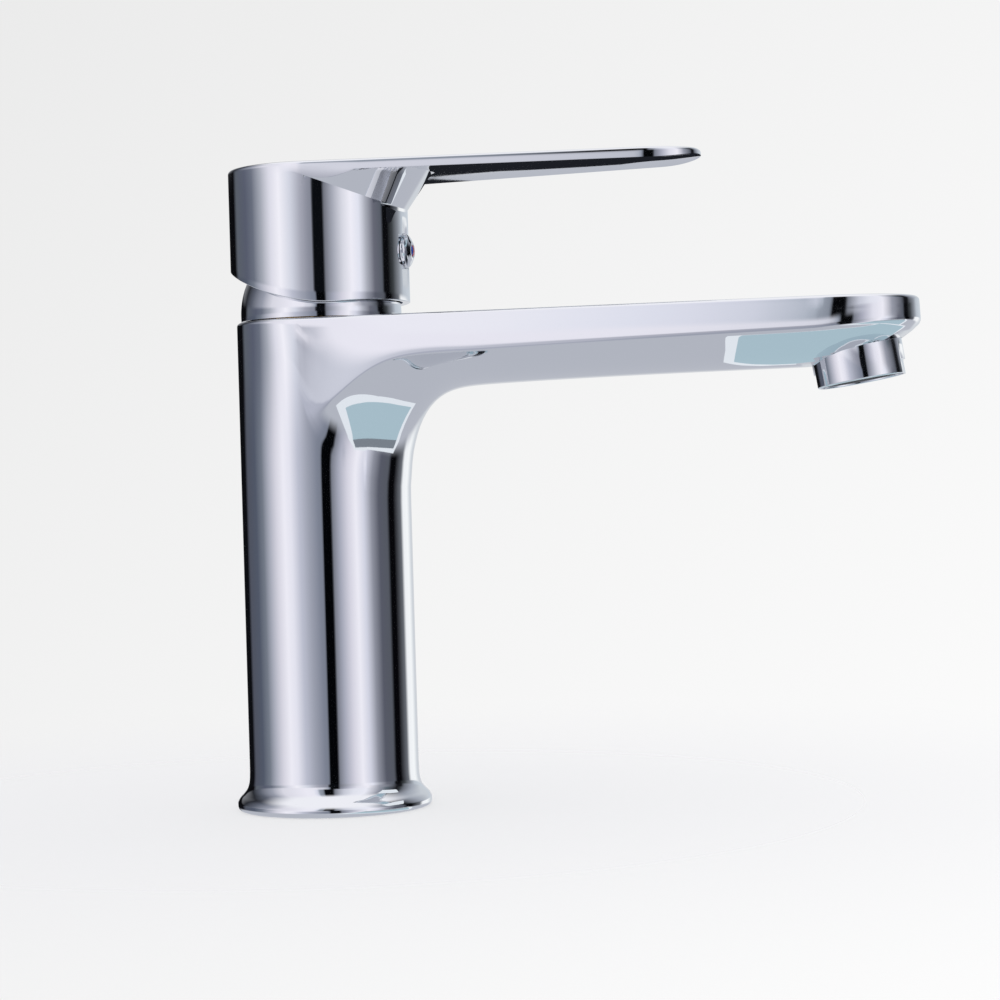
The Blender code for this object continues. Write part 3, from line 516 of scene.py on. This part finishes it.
def fillet_drop(x, y):
    """How far the blend under the spout has dropped at (x, y); it fades out at the sides of the column."""
    angle = abs(math.degrees(math.atan2(y, x)))
    share = 1.0 - 0.07 * (angle / FILLET_TURN) ** 2
    if angle > FILLET_TURN:
        past = min(90.0, (angle - FILLET_TURN) * 90.0 / FILLET_FADE)
        share *= max(0.0, math.cos(math.radians(past))) ** 0.35
    out = math.hypot(x, y) - COLUMN_RADIUS
    if share < 0.001 or out >= FILLET_REACH * share:
        return 0.0
    near = 1.0 - max(out, 0.0) / (FILLET_REACH * share)
    return FILLET_DROP * share * (1.0 - (1.0 - near ** FILLET_POWER) ** (1.0 / FILLET_POWER))


def spout_rim(x):
    tip = max(0.0, (x - 0.85 * SPOUT_TIP_X) / SPOUT_TIP_X)
    return BODY_TOP - SPOUT_BAND + SPOUT_BAND_RISE * x + SPOUT_TIP_RISE * tip ** 2


def spout_band(x, y):
    return spout_rim(x) - fillet_drop(x, y)


def spout_under(x, y):
    rim = spout_rim(x)
    sag = SPOUT_ROOT_SAG * math.exp(-(x - COLUMN_RADIUS) / SPOUT_ROOT_LENGTH)
    keel = BODY_TOP - SPOUT_DEPTH - sag
    t = SPOUT.spread(x, y)
    return rim - (rim - keel) * (1.0 - t ** 2.2) - fillet_drop(x, y)


def build_body():
    rows = ring_rows(SPOUT, [(0.0, CHAMBER_FLOOR), (CHAMBER_RADIUS, CHAMBER_FLOOR),
                             (CHAMBER_RADIUS, BODY_TOP - 0.4 * MM), (CHAMBER_RADIUS + 0.4 * MM, BODY_TOP)])
    rows += top_rows(SPOUT, BODY_TOP, BODY_EDGE, SPOUT_LEAN)
    rows += band_rows(SPOUT, BODY_TOP, BODY_EDGE, SPOUT_LEAN, spout_band)
    rows += under_rows(SPOUT, spout_band, spout_under, 4.0 * MM, 44, 2.1)

    def below(i):
        x, y, a, on_column = SPOUT.columns[i]
        cx, cy = SPOUT.on_circle(i, COLUMN_RADIUS)
        z = spout_band(x, y) - 4.0 * MM if on_column else spout_under(cx, cy)
        return cx, cy, z - 2.0 * MM
    rows.append(below)
    rows += ring_rows(SPOUT, [(COLUMN_RADIUS, z) for z in (0.075, 0.060, 0.030, 0.0135)])
    foot = smooth_path([(COLUMN_RADIUS, 0.0120), (COLUMN_RADIUS + 0.05 * MM, 0.0095),
                        (COLUMN_RADIUS + 0.25 * MM, 0.0075), (COLUMN_RADIUS + 0.80 * MM, 0.0058),
                        (COLUMN_RADIUS + 1.75 * MM, 0.0045), (COLUMN_RADIUS + 2.8 * MM, 0.0034),
                        (FLANGE_RADIUS, 0.0021), (FLANGE_RADIUS - 0.05 * MM, 0.0010),
                        (FLANGE_RADIUS - 0.45 * MM, 0.0003), (FLANGE_RADIUS - 1.2 * MM, 0.0)], 4)
    rows += ring_rows(SPOUT, [(min(r, FLANGE_RADIUS), max(z, 0.0)) for r, z in foot])
    rows += ring_rows(SPOUT, [(FLANGE_RADIUS - 2.8 * MM, 0.0), (FLANGE_RADIUS - 2.8 * MM, 0.0024),
                              (HOLLOW_RADIUS + 1.3 * MM, 0.0024), (HOLLOW_RADIUS + 1.3 * MM, 0.0),
                              (HOLLOW_RADIUS + 0.3 * MM, 0.0), (HOLLOW_RADIUS, 0.0003),
                              (HOLLOW_RADIUS, BRIDGE_BOTTOM), (0.0, BRIDGE_BOTTOM)])
    bm = wrap_grid(len(SPOUT.columns), rows)
    soften(bm, 14, lambda c: 0.078 < c.z < 0.1285 and -0.012 < c.x < 0.046
           and math.hypot(c.x, c.y) > COLUMN_RADIUS - 0.4 * MM, COLUMN_RADIUS)
    soften(bm, 4, lambda c: c.z < BODY_TOP - 3 * MM and c.x > 0.010 and c.z > 0.100
           and math.hypot(c.x, c.y) > COLUMN_RADIUS - 0.1 * MM, COLUMN_RADIUS)
    body = link("body_skin", bm, MATERIALS["body_chrome"], 40.0)
    socket = lathe([(0.0, 0.0030), (AERATOR_RADIUS + 0.15 * MM, 0.0030),
                    (AERATOR_RADIUS + 0.15 * MM, 0.0099), (AERATOR_THREAD_RADIUS + 0.35 * MM, 0.0099),
                    (AERATOR_THREAD_RADIUS + 0.35 * MM, 0.0176), (0.0, 0.0176)], 72, OUTLET)
    boolean(body, socket, "outlet_socket")
    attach(body, "faucet_body")
    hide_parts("body")


# ------------------------------------------------------------------ handle
LEVER = Arm(HANDLE_RADIUS, LEVER_TIP_X, LEVER_TIP_HALF_WIDTH, LEVER_TIP_LENGTH,
            LEVER_TIP_POWER, back=84, side=48, tip=36)


def gusset(x, y):
    out = max(0.0, math.hypot(x, y) - HANDLE_RADIUS)
    front = HANDLE_TOP - GUSSET_DROP + GUSSET_SIDE_RISE * (1.0 - x / math.hypot(x, y))
    return front + GUSSET_SLOPE * out


def lever_rim(x):
    tip = max(0.0, (x - LEVER_TIP_X + LEVER_TIP_THIN) / LEVER_TIP_THIN)
    return HANDLE_TOP - LEVER_THICKNESS + LEVER_TIP_RISE * tip ** 2


def lever_band(x, y):
    return min(lever_rim(x), gusset(x, y))


def lever_under(x, y):
    t = LEVER.spread(x, y)
    scoop = LEVER_SCOOP * (1.0 - t ** 2.2)
    return min(lever_rim(x) + scoop, gusset(x, y))


def handle_foot(x):
    rear = RELIEF_CURVE * max(0.0, RELIEF_START - x) ** 2
    return HANDLE_FOOT + rear + FOOT_RISE * smoothstep(x, 0.2 * HANDLE_RADIUS, HANDLE_RADIUS)


def build_handle():
    top = [lambda i: (0.0, 0.0, HANDLE_TOP)]
    rows = top + top_rows(LEVER, HANDLE_TOP, HANDLE_EDGE, LEVER_LEAN)
    rows += band_rows(LEVER, HANDLE_TOP, HANDLE_EDGE, LEVER_LEAN, lever_band, 5)
    rows += under_rows(LEVER, lever_band, lever_under, 3.0 * MM, 60, 1.6)

    def below(i):
        x, y, a, on_column = LEVER.columns[i]
        cx, cy = LEVER.on_circle(i, HANDLE_RADIUS)
        z = lever_band(x, y) - 3.0 * MM if on_column else lever_under(cx, cy)
        return cx, cy, z - 1.2 * MM
    rows.append(below)
    edge = HANDLE_FOOT_EDGE
    for share in (0.25, 0.6, 0.9):
        rows.append(lambda i, s=share: (
            *LEVER.on_circle(i, HANDLE_RADIUS),
            below(i)[2] * (1 - s) + (handle_foot(LEVER.on_circle(i, HANDLE_RADIUS)[0]) + edge) * s))
    for k in range(6):
        a = math.pi / 2 * k / 5
        rows.append(lambda i, a=a: (
            *LEVER.on_circle(i, HANDLE_RADIUS - edge * (1 - math.cos(a))),
            handle_foot(LEVER.on_circle(i, HANDLE_RADIUS)[0]) + edge * (1 - math.sin(a))))

    def cavity(i, t):
        low = handle_foot(LEVER.on_circle(i, HANDLE_RADIUS)[0]) + 0.1 * MM
        high = PIVOT_Z + math.sqrt(CAVITY_RADIUS ** 2 - BOSS_RADIUS ** 2)
        first = math.asin((low - PIVOT_Z) / CAVITY_RADIUS)
        last = math.asin((high - PIVOT_Z) / CAVITY_RADIUS)
        a = first + (last - first) * t
        return (*LEVER.on_circle(i, CAVITY_RADIUS * math.cos(a)), PIVOT_Z + CAVITY_RADIUS * math.sin(a))
    for k in range(9):
        rows.append(lambda i, t=k / 8: cavity(i, t))
    rows += ring_rows(LEVER, [(BOSS_RADIUS, PIVOT_Z + 9 * MM), (STEM_HOLE_RADIUS, PIVOT_Z + 9 * MM),
                              (STEM_HOLE_RADIUS, STEM_TOP + 0.5 * MM), (0.0, STEM_TOP + 0.5 * MM)])
    bm = wrap_grid(len(LEVER.columns), rows)
    handle = link("handle_skin", bm, MATERIALS["handle_chrome"], 35.0)
    x = HANDLE_RADIUS
    seat, mouth = INDICATOR_RADIUS - 0.9 * MM, INDICATOR_RADIUS + 0.3 * MM
    hole = lathe([(0.0, 2.0 * MM), (GRUB_HOLE_RADIUS, 2.0 * MM), (GRUB_HOLE_RADIUS, x - 5.5 * MM),
                  (seat, x - 5.5 * MM), (seat, x - 0.8 * MM), (mouth, x - 0.8 * MM), (mouth, x + 3 * MM),
                  (0.0, x + 3 * MM)], 48, FRONT)
    boolean(handle, hole, "plug_hole")
    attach(handle, "lever")
    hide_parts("handle")


# ------------------------------------------------------------------ cover, plug, markers
def build_cover():
    outer, inner = [], []
    first = math.asin((dome_low[2] - PIVOT_Z) / DOME_RADIUS)
    last = math.asin((dome_high[2] - PIVOT_Z) / DOME_RADIUS)
    for k in range(19):
        a = first + (last - first) * k / 18
        outer.append((DOME_RADIUS * math.cos(a), PIVOT_Z + DOME_RADIUS * math.sin(a)))
        inner.append(((DOME_RADIUS - DOME_WALL) * math.cos(a),
                      max(dome_low[2], PIVOT_Z + (DOME_RADIUS - DOME_WALL) * math.sin(a))))
    cover = link("dome_skin", lathe(outer + inner[::-1], 128), MATERIALS["dome_chrome"])
    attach(cover, "faucet_body")
    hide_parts("dome_cover")


def build_plug():
    r, x = INDICATOR_RADIUS, HANDLE_RADIUS
    m = MARKER_RADIUS
    shoulder = smooth_path([(r, x + 0.30 * MM), (0.95 * r, x + 0.75 * MM), (0.82 * r, x + 1.25 * MM),
                            (0.62 * r, x + 1.75 * MM), (m + 0.7 * MM, x + 2.05 * MM),
                            (m + 0.30 * MM, x + 2.1 * MM)], 5)
    profile = [(0.0, x - 5.0 * MM), (r - 1.2 * MM, x - 5.0 * MM), (r - 1.2 * MM, x - 0.5 * MM),
               (r - 0.2 * MM, x - 0.5 * MM), (r, x - 0.3 * MM)] + shoulder
    profile += [(m + 0.12 * MM, x + 1.9 * MM), (m + 0.12 * MM, x + 0.6 * MM), (0.0, x + 0.6 * MM)]
    plug = link("indicator_skin", lathe(profile, 64, FRONT), MATERIALS["indicator_chrome"])
    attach(plug, "lever")
    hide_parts("indicator_plug")
    for side, label in ((1, "red"), (-1, "blue")):
        cap = [(m * math.cos(a), x + 1.95 * MM + 0.55 * MM * math.sin(a))
               for a in [math.pi / 2 * k / 6 for k in range(7)]]
        bm = lathe([(0.0, x + 0.9 * MM), (m, x + 0.9 * MM)] + cap[:-1] + [(0.0, x + 2.5 * MM)], 48, FRONT)
        bmesh.ops.bisect_plane(bm, geom=bm.verts[:] + bm.edges[:] + bm.faces[:], dist=1e-8,
                               plane_co=(0, side * MARKER_GAP + MARKER_SPLIT, 0), plane_no=(0, -side, 0),
                               clear_outer=True)
        bmesh.ops.holes_fill(bm, edges=[e for e in bm.edges if e.is_boundary], sides=0)
        half = link("marker_skin_" + label, bm, MATERIALS["marker_" + label])
        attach(half, "lever")
        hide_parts("marker_" + label)


# ------------------------------------------------------------------ aerator
def build_aerator():
    rad, bore = AERATOR_RADIUS, AERATOR_BORE
    lip = rad - 1.05 * MM
    corners = [(lip, 0.0), (rad, 0.0), (rad, AERATOR_HEAD), (AERATOR_THREAD_RADIUS, AERATOR_HEAD),
               (AERATOR_THREAD_RADIUS, AERATOR_LENGTH), (bore, AERATOR_LENGTH),
               (bore, AERATOR_STEP), (lip, AERATOR_STEP)]
    radii = [0.2 * MM, 0.4 * MM, 0.2 * MM, 0.0, 0.3 * MM, 0.2 * MM, 0.0, 0.0]
    shell = link("aerator_skin", lathe(rounded(corners, radii), 128, OUTLET), MATERIALS["aerator_chrome"])
    flats = bmesh.new()
    for side in (1, -1):
        place = OUTLET @ Matrix.Translation((side * (AERATOR_FLATS_HALF + 0.002), 0, 1.4 * MM))
        bmesh.ops.create_cube(flats, size=1.0, matrix=place @ Matrix.Diagonal((0.004, 0.03, 0.0048, 1.0)))
    boolean(shell, flats, "wrench_flats")
    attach(shell, "faucet_body")
    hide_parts("aerator_housing")

    # outlet grid: crossed bars inside a rim that covers the step of the mouth
    grid = lathe(rounded([(bore - 0.6 * MM, 0.45 * MM), (lip - 0.08 * MM, 0.45 * MM),
                          (lip - 0.08 * MM, 1.5 * MM), (bore - 0.12 * MM, 1.5 * MM),
                          (bore - 0.12 * MM, 8.5 * MM), (bore - 0.6 * MM, 8.5 * MM)], 0.1 * MM, 2),
                 64, OUTLET)
    pitch, bar, deep = 1.45 * MM, 0.34 * MM, 1.6 * MM
    reach = bore - 0.5 * MM
    count = int(reach / pitch)
    for turn in (0.0, math.pi / 2):
        spin = OUTLET @ Matrix.Rotation(turn, 4, 'Z')
        for k in range(-count, count + 1):
            offset = k * pitch
            length = 2 * math.sqrt(reach ** 2 - offset ** 2)
            lift = 2.3 * MM if turn else 2.2 * MM
            place = spin @ Matrix.Translation((0, offset, lift))
            bmesh.ops.create_cube(grid, size=1.0, matrix=place @ Matrix.Diagonal((length, bar, deep, 1.0)))
    mesh = link("outlet_grid", grid, MATERIALS["straightener"])
    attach(mesh, "faucet_body")
    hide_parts("flow_straightener")


# ------------------------------------------------------------------ kept CAD nodes
def finish_kept_nodes():
    slots = {p["node"]: p["material_slot"] for p in frame["record"]["subparts"]}
    for name, obj in frame["nodes"].items():
        if obj.hide_render:
            continue
        mat = MATERIALS[slots[name]]
        if not obj.material_slots:
            obj.data.materials.append(mat)
        for s in obj.material_slots:
            s.material = mat


# ------------------------------------------------------------------ camera and surroundings
CAMERA_PLACE = (0.2167, -0.6928, 0.0896)
CAMERA_YAW = -13.56
CAMERA_PITCH = -0.44
CAMERA_ROLL = -1.63
CAMERA_LENS = 93.6


def build_camera():
    data = bpy.data.cameras.new("camera")
    data.sensor_width = 36.0
    data.lens = CAMERA_LENS
    data.clip_start = 0.01
    data.clip_end = 20.0
    cam = bpy.data.objects.new("camera", data)
    bpy.context.scene.collection.objects.link(cam)
    yaw, pitch = math.radians(CAMERA_YAW), math.radians(CAMERA_PITCH)
    forward = Vector((math.sin(yaw) * math.cos(pitch), math.cos(yaw) * math.cos(pitch), math.sin(pitch)))
    right = Vector((math.cos(yaw), -math.sin(yaw), 0.0))
    up = right.cross(forward)
    roll = math.radians(CAMERA_ROLL)
    r2 = right * math.cos(roll) + up * math.sin(roll)
    u2 = up * math.cos(roll) - right * math.sin(roll)
    turn = Matrix((r2, u2, -forward)).transposed()
    cam.matrix_world = Matrix.Translation(CAMERA_PLACE) @ turn.to_4x4()
    bpy.context.scene.camera = cam
    return r2, u2, forward


def display(r, g, b, over=(1.0, 1.0, 1.0)):
    """Linear light for a display colour of 0 to 255 seen off a surface of that reflectance."""
    out = []
    for value, share in zip((r, g, b), over):
        c = value / 255.0
        c = c / 12.92 if c <= 0.04045 else ((c + 0.055) / 1.055) ** 2.4
        out.append(c / share)
    return (*out, 1.0)


# (bearing from the camera in degrees, display colour): what an upright chrome face mirrors
LEVEL_LIGHT = [
    (-180, (175, 177, 184)), (-168, (12, 13, 16)), (-142, (12, 13, 17)), (-133, (78, 82, 95)),
    (-112, (80, 87, 103)), (-97, (115, 122, 135)), (-85, (170, 173, 187)), (-72, (213, 212, 224)),
    (-60, (236, 235, 245)), (-50, (226, 226, 238)), (-38, (186, 189, 205)), (-25, (155, 159, 174)),
    (-12, (124, 130, 146)), (-7.5, (120, 126, 141)), (-6.0, (3, 4, 6)), (5.0, (3, 4, 6)),
    (7.0, (118, 122, 134)), (16, (165, 168, 184)), (28, (212, 211, 224)), (39, (236, 235, 245)),
    (50, (208, 210, 225)), (62, (140, 143, 156)), (74, (86, 89, 102)), (88, (84, 88, 98)),
    (93, (6, 6, 9)), (102, (6, 6, 9)), (108, (58, 60, 66)), (119, (104, 108, 116)),
    (126, (236, 239, 243)), (140, (240, 243, 246)), (155, (196, 202, 210)), (170, (196, 199, 206))]

# the same for the handle, which mirrors the strip just above level
HANDLE_LIGHT = [
    (-180, (205, 208, 213)), (-169, (12, 13, 16)), (-139, (9, 9, 12)), (-130, (88, 94, 104)),
    (-108, (86, 91, 108)), (-94, (104, 110, 125)), (-79, (164, 168, 180)), (-65, (218, 218, 230)),
    (-52, (240, 239, 248)), (-37, (209, 212, 225)), (-23, (161, 163, 177)), (-14, (138, 141, 155)),
    (-9.5, (130, 133, 147)), (-8.0, (10, 12, 16)), (4.5, (10, 12, 16)), (7, (112, 115, 126)),
    (18, (167, 170, 183)), (30, (214, 215, 226)), (41, (238, 237, 247)), (52, (224, 226, 239)),
    (62, (169, 172, 184)), (74, (102, 104, 117)), (86, (88, 93, 104)), (90, (10, 11, 14)),
    (98, (10, 11, 14)), (108, (60, 64, 68)), (122, (132, 137, 146)), (134, (182, 190, 200)),
    (148, (190, 198, 208))]

# the same for faces that lean a little and so mirror a higher strip of the room
HIGH_LIGHT = [
    (-180, (150, 152, 158)), (-140, (40, 42, 48)), (-120, (90, 95, 108)), (-95, (150, 154, 168)),
    (-75, (215, 215, 226)), (-40, (234, 233, 244)), (-26, (228, 227, 238)), (-22, (212, 213, 225)),
    (-16, (202, 204, 216)), (-12.5, (184, 187, 199)), (-9.5, (160, 166, 180)),
    (-7.5, (130, 136, 150)), (-6.0, (5, 6, 8)), (5.0, (5, 6, 8)), (7.0, (120, 124, 136)),
    (16, (168, 170, 186)),
    (30, (222, 222, 234)), (45, (236, 235, 245)), (62, (150, 153, 166)), (84, (90, 94, 104)),
    (92, (20, 20, 24)), (101, (24, 26, 30)), (108, (110, 114, 124)), (126, (158, 164, 176)),
    (150, (192, 198, 206))]

# and for the side of the spout, which leans most
SPOUT_LIGHT = [
    (-180, (150, 152, 158)), (-140, (40, 42, 48)), (-120, (90, 95, 108)), (-95, (150, 154, 168)),
    (-75, (215, 215, 226)), (-40, (234, 233, 244)), (-30, (232, 232, 242)), (-27, (222, 224, 237)),
    (-25, (214, 216, 230)), (-24, (206, 209, 223)), (-23, (184, 191, 204)), (-22, (158, 166, 180)),
    (-21, (144, 151, 164)), (-16, (130, 137, 150)), (-14.5, (5, 6, 8)), (-3.0, (5, 6, 8)),
    (0.0, (124, 128, 139)), (12, (196, 199, 212)), (26, (224, 226, 237)), (43, (232, 233, 244)),
    (62, (150, 153, 166)), (74, (91, 101, 111)), (84, (70, 74, 82)), (92, (20, 20, 24)),
    (99, (50, 54, 58)), (108, (110, 114, 124)), (126, (158, 164, 176)), (150, (192, 198, 206))]

FLOOR_LIGHT = (176, 180, 191)
CEILING_LIGHT = (236, 237, 244)

# each strip of the room, or plain colour, takes over between two elevations in degrees
ROOM = ((HANDLE_LIGHT, 0.5, 3.2), (HIGH_LIGHT, 6.2, 10.0), (SPOUT_LIGHT, 13.0, 17.0),
        (FLOOR_LIGHT, -8.5, -17.0), (CEILING_LIGHT, 35.0, 60.0))


def ramp(tree, stops, over):
    r = tree.nodes.new('ShaderNodeValToRGB')
    elements = r.color_ramp.elements
    while len(elements) < len(stops):
        elements.new(0.5)
    for e, (bearing, colour) in zip(elements, stops):
        e.position = (bearing + 180.0) / 360.0
        e.color = display(*colour, over=over)
    return r


def build_world(r2, u2, forward):
    world = bpy.data.worlds.new("studio")
    bpy.context.scene.world = world
    world.use_nodes = True
    t = world.node_tree
    t.nodes.clear()
    out = node(t, 'ShaderNodeOutputWorld')
    coords = node(t, 'ShaderNodeTexCoord')
    parts = node(t, 'ShaderNodeSeparateXYZ')
    flip = node(t, 'ShaderNodeMath', {1: -1.0}, operation='MULTIPLY')
    bearing = node(t, 'ShaderNodeMath', operation='ARCTAN2')
    facing = math.atan2(CAMERA_PLACE[0], -CAMERA_PLACE[1])
    shift = node(t, 'ShaderNodeMath', {1: facing}, operation='SUBTRACT')
    fold = node(t, 'ShaderNodeMath', {1: math.pi, 2: -math.pi}, operation='WRAP')
    place = node(t, 'ShaderNodeMapRange', {"From Min": -math.pi, "From Max": math.pi})
    rise = node(t, 'ShaderNodeMath', operation='ARCSINE')
    wire(t, (coords.outputs['Generated'], parts.inputs[0]), (parts.outputs['Y'], flip.inputs[0]),
         (parts.outputs['X'], bearing.inputs[0]), (flip.outputs[0], bearing.inputs[1]),
         (bearing.outputs[0], shift.inputs[0]), (shift.outputs[0], fold.inputs[0]),
         (fold.outputs[0], place.inputs['Value']), (parts.outputs['Z'], rise.inputs[0]))
    room = ramp(t, LEVEL_LIGHT, CHROME_COLOR)
    wire(t, (place.outputs[0], room.inputs[0]))
    room = room.outputs[0]
    for strip, start, end in ROOM:
        share = node(t, 'ShaderNodeMapRange', interpolation_type='SMOOTHSTEP',
                     values={"From Min": math.radians(start), "From Max": math.radians(end)})
        mix = node(t, 'ShaderNodeMix', data_type='RGBA')
        wire(t, (rise.outputs[0], share.inputs['Value']), (share.outputs[0], mix.inputs[0]),
             (room, mix.inputs[6]))
        if isinstance(strip, tuple):
            mix.inputs[7].default_value = display(*strip, over=CHROME_COLOR)
        else:
            colours = ramp(t, strip, CHROME_COLOR)
            wire(t, (place.outputs[0], colours.inputs[0]), (colours.outputs[0], mix.inputs[7]))
        room = mix.outputs[2]
    # plain backdrop: pale, a little brighter towards the lower right
    across = node(t, 'ShaderNodeVectorMath', operation='DOT_PRODUCT')
    across.inputs[1].default_value = r2 - u2
    tint = node(t, 'ShaderNodeMapRange', {"From Min": -0.42, "From Max": 0.42})
    back = node(t, 'ShaderNodeMix', data_type='RGBA')
    back.inputs[6].default_value = display(234, 234, 234)
    back.inputs[7].default_value = display(254, 254, 254)
    wire(t, (coords.outputs['Generated'], across.inputs[0]),
         (across.outputs['Value'], tint.inputs['Value']), (tint.outputs[0], back.inputs[0]))
    path = node(t, 'ShaderNodeLightPath')
    soft = node(t, 'ShaderNodeBackground', {"Color": (0.95, 0.95, 1.0, 1.0), "Strength": 0.95})
    mirror = node(t, 'ShaderNodeBackground')
    plain = node(t, 'ShaderNodeBackground')
    first = node(t, 'ShaderNodeMixShader')
    second = node(t, 'ShaderNodeMixShader')
    wire(t, (room, mirror.inputs['Color']), (back.outputs[2], plain.inputs['Color']),
         (path.outputs['Is Glossy Ray'], first.inputs[0]), (soft.outputs[0], first.inputs[1]),
         (mirror.outputs[0], first.inputs[2]), (path.outputs['Is Camera Ray'], second.inputs[0]),
         (first.outputs[0], second.inputs[1]), (plain.outputs[0], second.inputs[2]),
         (second.outputs[0], out.inputs['Surface']))


def build_floor():
    """Pale floor that fades into the backdrop a little way out."""
    bm = bmesh.new()
    bmesh.ops.create_circle(bm, cap_ends=True, segments=96, radius=1.2)
    mat = bpy.data.materials.new("floor")
    mat.use_nodes = True
    t = mat.node_tree
    t.nodes.clear()
    out = node(t, 'ShaderNodeOutputMaterial')
    coords = node(t, 'ShaderNodeTexCoord')
    far = node(t, 'ShaderNodeVectorMath', operation='LENGTH')
    fade = node(t, 'ShaderNodeMapRange', interpolation_type='SMOOTHSTEP',
                values={"From Min": 0.05, "From Max": 0.35, "To Min": 0.35, "To Max": 0.0})
    pale = node(t, 'ShaderNodeBsdfDiffuse', {"Color": display(246, 246, 247)})
    clear = node(t, 'ShaderNodeBsdfTransparent')
    mix = node(t, 'ShaderNodeMixShader')
    wire(t, (coords.outputs['Object'], far.inputs[0]), (far.outputs['Value'], fade.inputs['Value']),
         (fade.outputs[0], mix.inputs[0]), (clear.outputs[0], mix.inputs[1]),
         (pale.outputs[0], mix.inputs[2]), (mix.outputs[0], out.inputs['Surface']))
    floor = link("floor", bm, mat)
    floor.location.z = -0.0002
    floor.visible_glossy = False


def glow(name, colour):
    """A plain glowing tone for a panel."""
    mat = bpy.data.materials.new(name)
    mat.use_nodes = True
    t = mat.node_tree
    t.nodes.clear()
    out = node(t, 'ShaderNodeOutputMaterial')
    shine = node(t, 'ShaderNodeEmission', {"Color": display(*colour, over=CHROME_COLOR)})
    wire(t, (shine.outputs[0], out.inputs['Surface']))
    return mat


def card(name, mat, corners):
    bm = bmesh.new()
    bm.faces.new([bm.verts.new(c) for c in corners])
    obj = link(name, bm, mat)
    obj.visible_camera = False
    obj.visible_diffuse = False
    obj.visible_shadow = False


def level_card(name, mat, height, corners):
    card(name, mat, [(x, y, height) for x, y in corners])


def build_cards():
    """Panels that only the chrome sees."""
    blue = glow("card_blue", (165, 188, 200))
    pale = glow("card_pale", (222, 228, 236))
    grey = glow("card_grey", (120, 128, 138))
    dark = glow("card_dark", (26, 28, 34))
    # a sheet with a pale edge, just under the end of the spout
    level_card("card_tip_edge", pale, 0.0896,
               [(0.113, -0.027), (0.111, -0.003), (0.108, 0.020), (0.111, 0.039), (0.115, 0.052),
                (0.194, 0.052), (0.194, -0.027)])
    level_card("card_tip", blue, 0.0900,
               [(0.117, -0.025), (0.114, -0.003), (0.111, 0.020), (0.115, 0.034), (0.120, 0.043),
                (0.190, 0.043), (0.190, -0.025)])
    # a large one far down, which shows in the blend under the spout
    level_card("card_root_edge", pale, -1.02,
               [(0.7, -2.6), (0.9, -1.5), (1.05, -0.6), (1.0, 0.3), (0.9, 1.0), (3.4, 2.0), (5.4, 2.2),
                (6.6, -5.3), (3.9, -4.5)])
    level_card("card_root", blue, -1.0,
               [(1.2, -2.1), (1.25, -1.3), (1.25, -0.6), (1.2, 0.2), (1.1, 0.9), (3.3, 1.5), (4.1, -3.8)])
    level_card("card_root_end", grey, -1.0, [(3.3, 1.5), (4.4, 1.7), (5.9, -4.6), (4.1, -3.8)])
    # an upright one beyond the lever, dark in its hollow underside
    card("card_lever", dark,
         [(x, 0.030, z) for x, z in ((0.022, 0.1706), (0.045, 0.1700), (0.062, 0.1690), (0.080, 0.1678),
                                     (0.095, 0.1686), (0.112, 0.1710), (0.112, 0.1765), (0.022, 0.1765))])


build_body()
build_handle()
build_cover()
build_plug()
build_aerator()
finish_kept_nodes()
build_world(*build_camera())
build_floor()
build_cards()
bpy.context.scene.view_settings.view_transform = 'Standard'
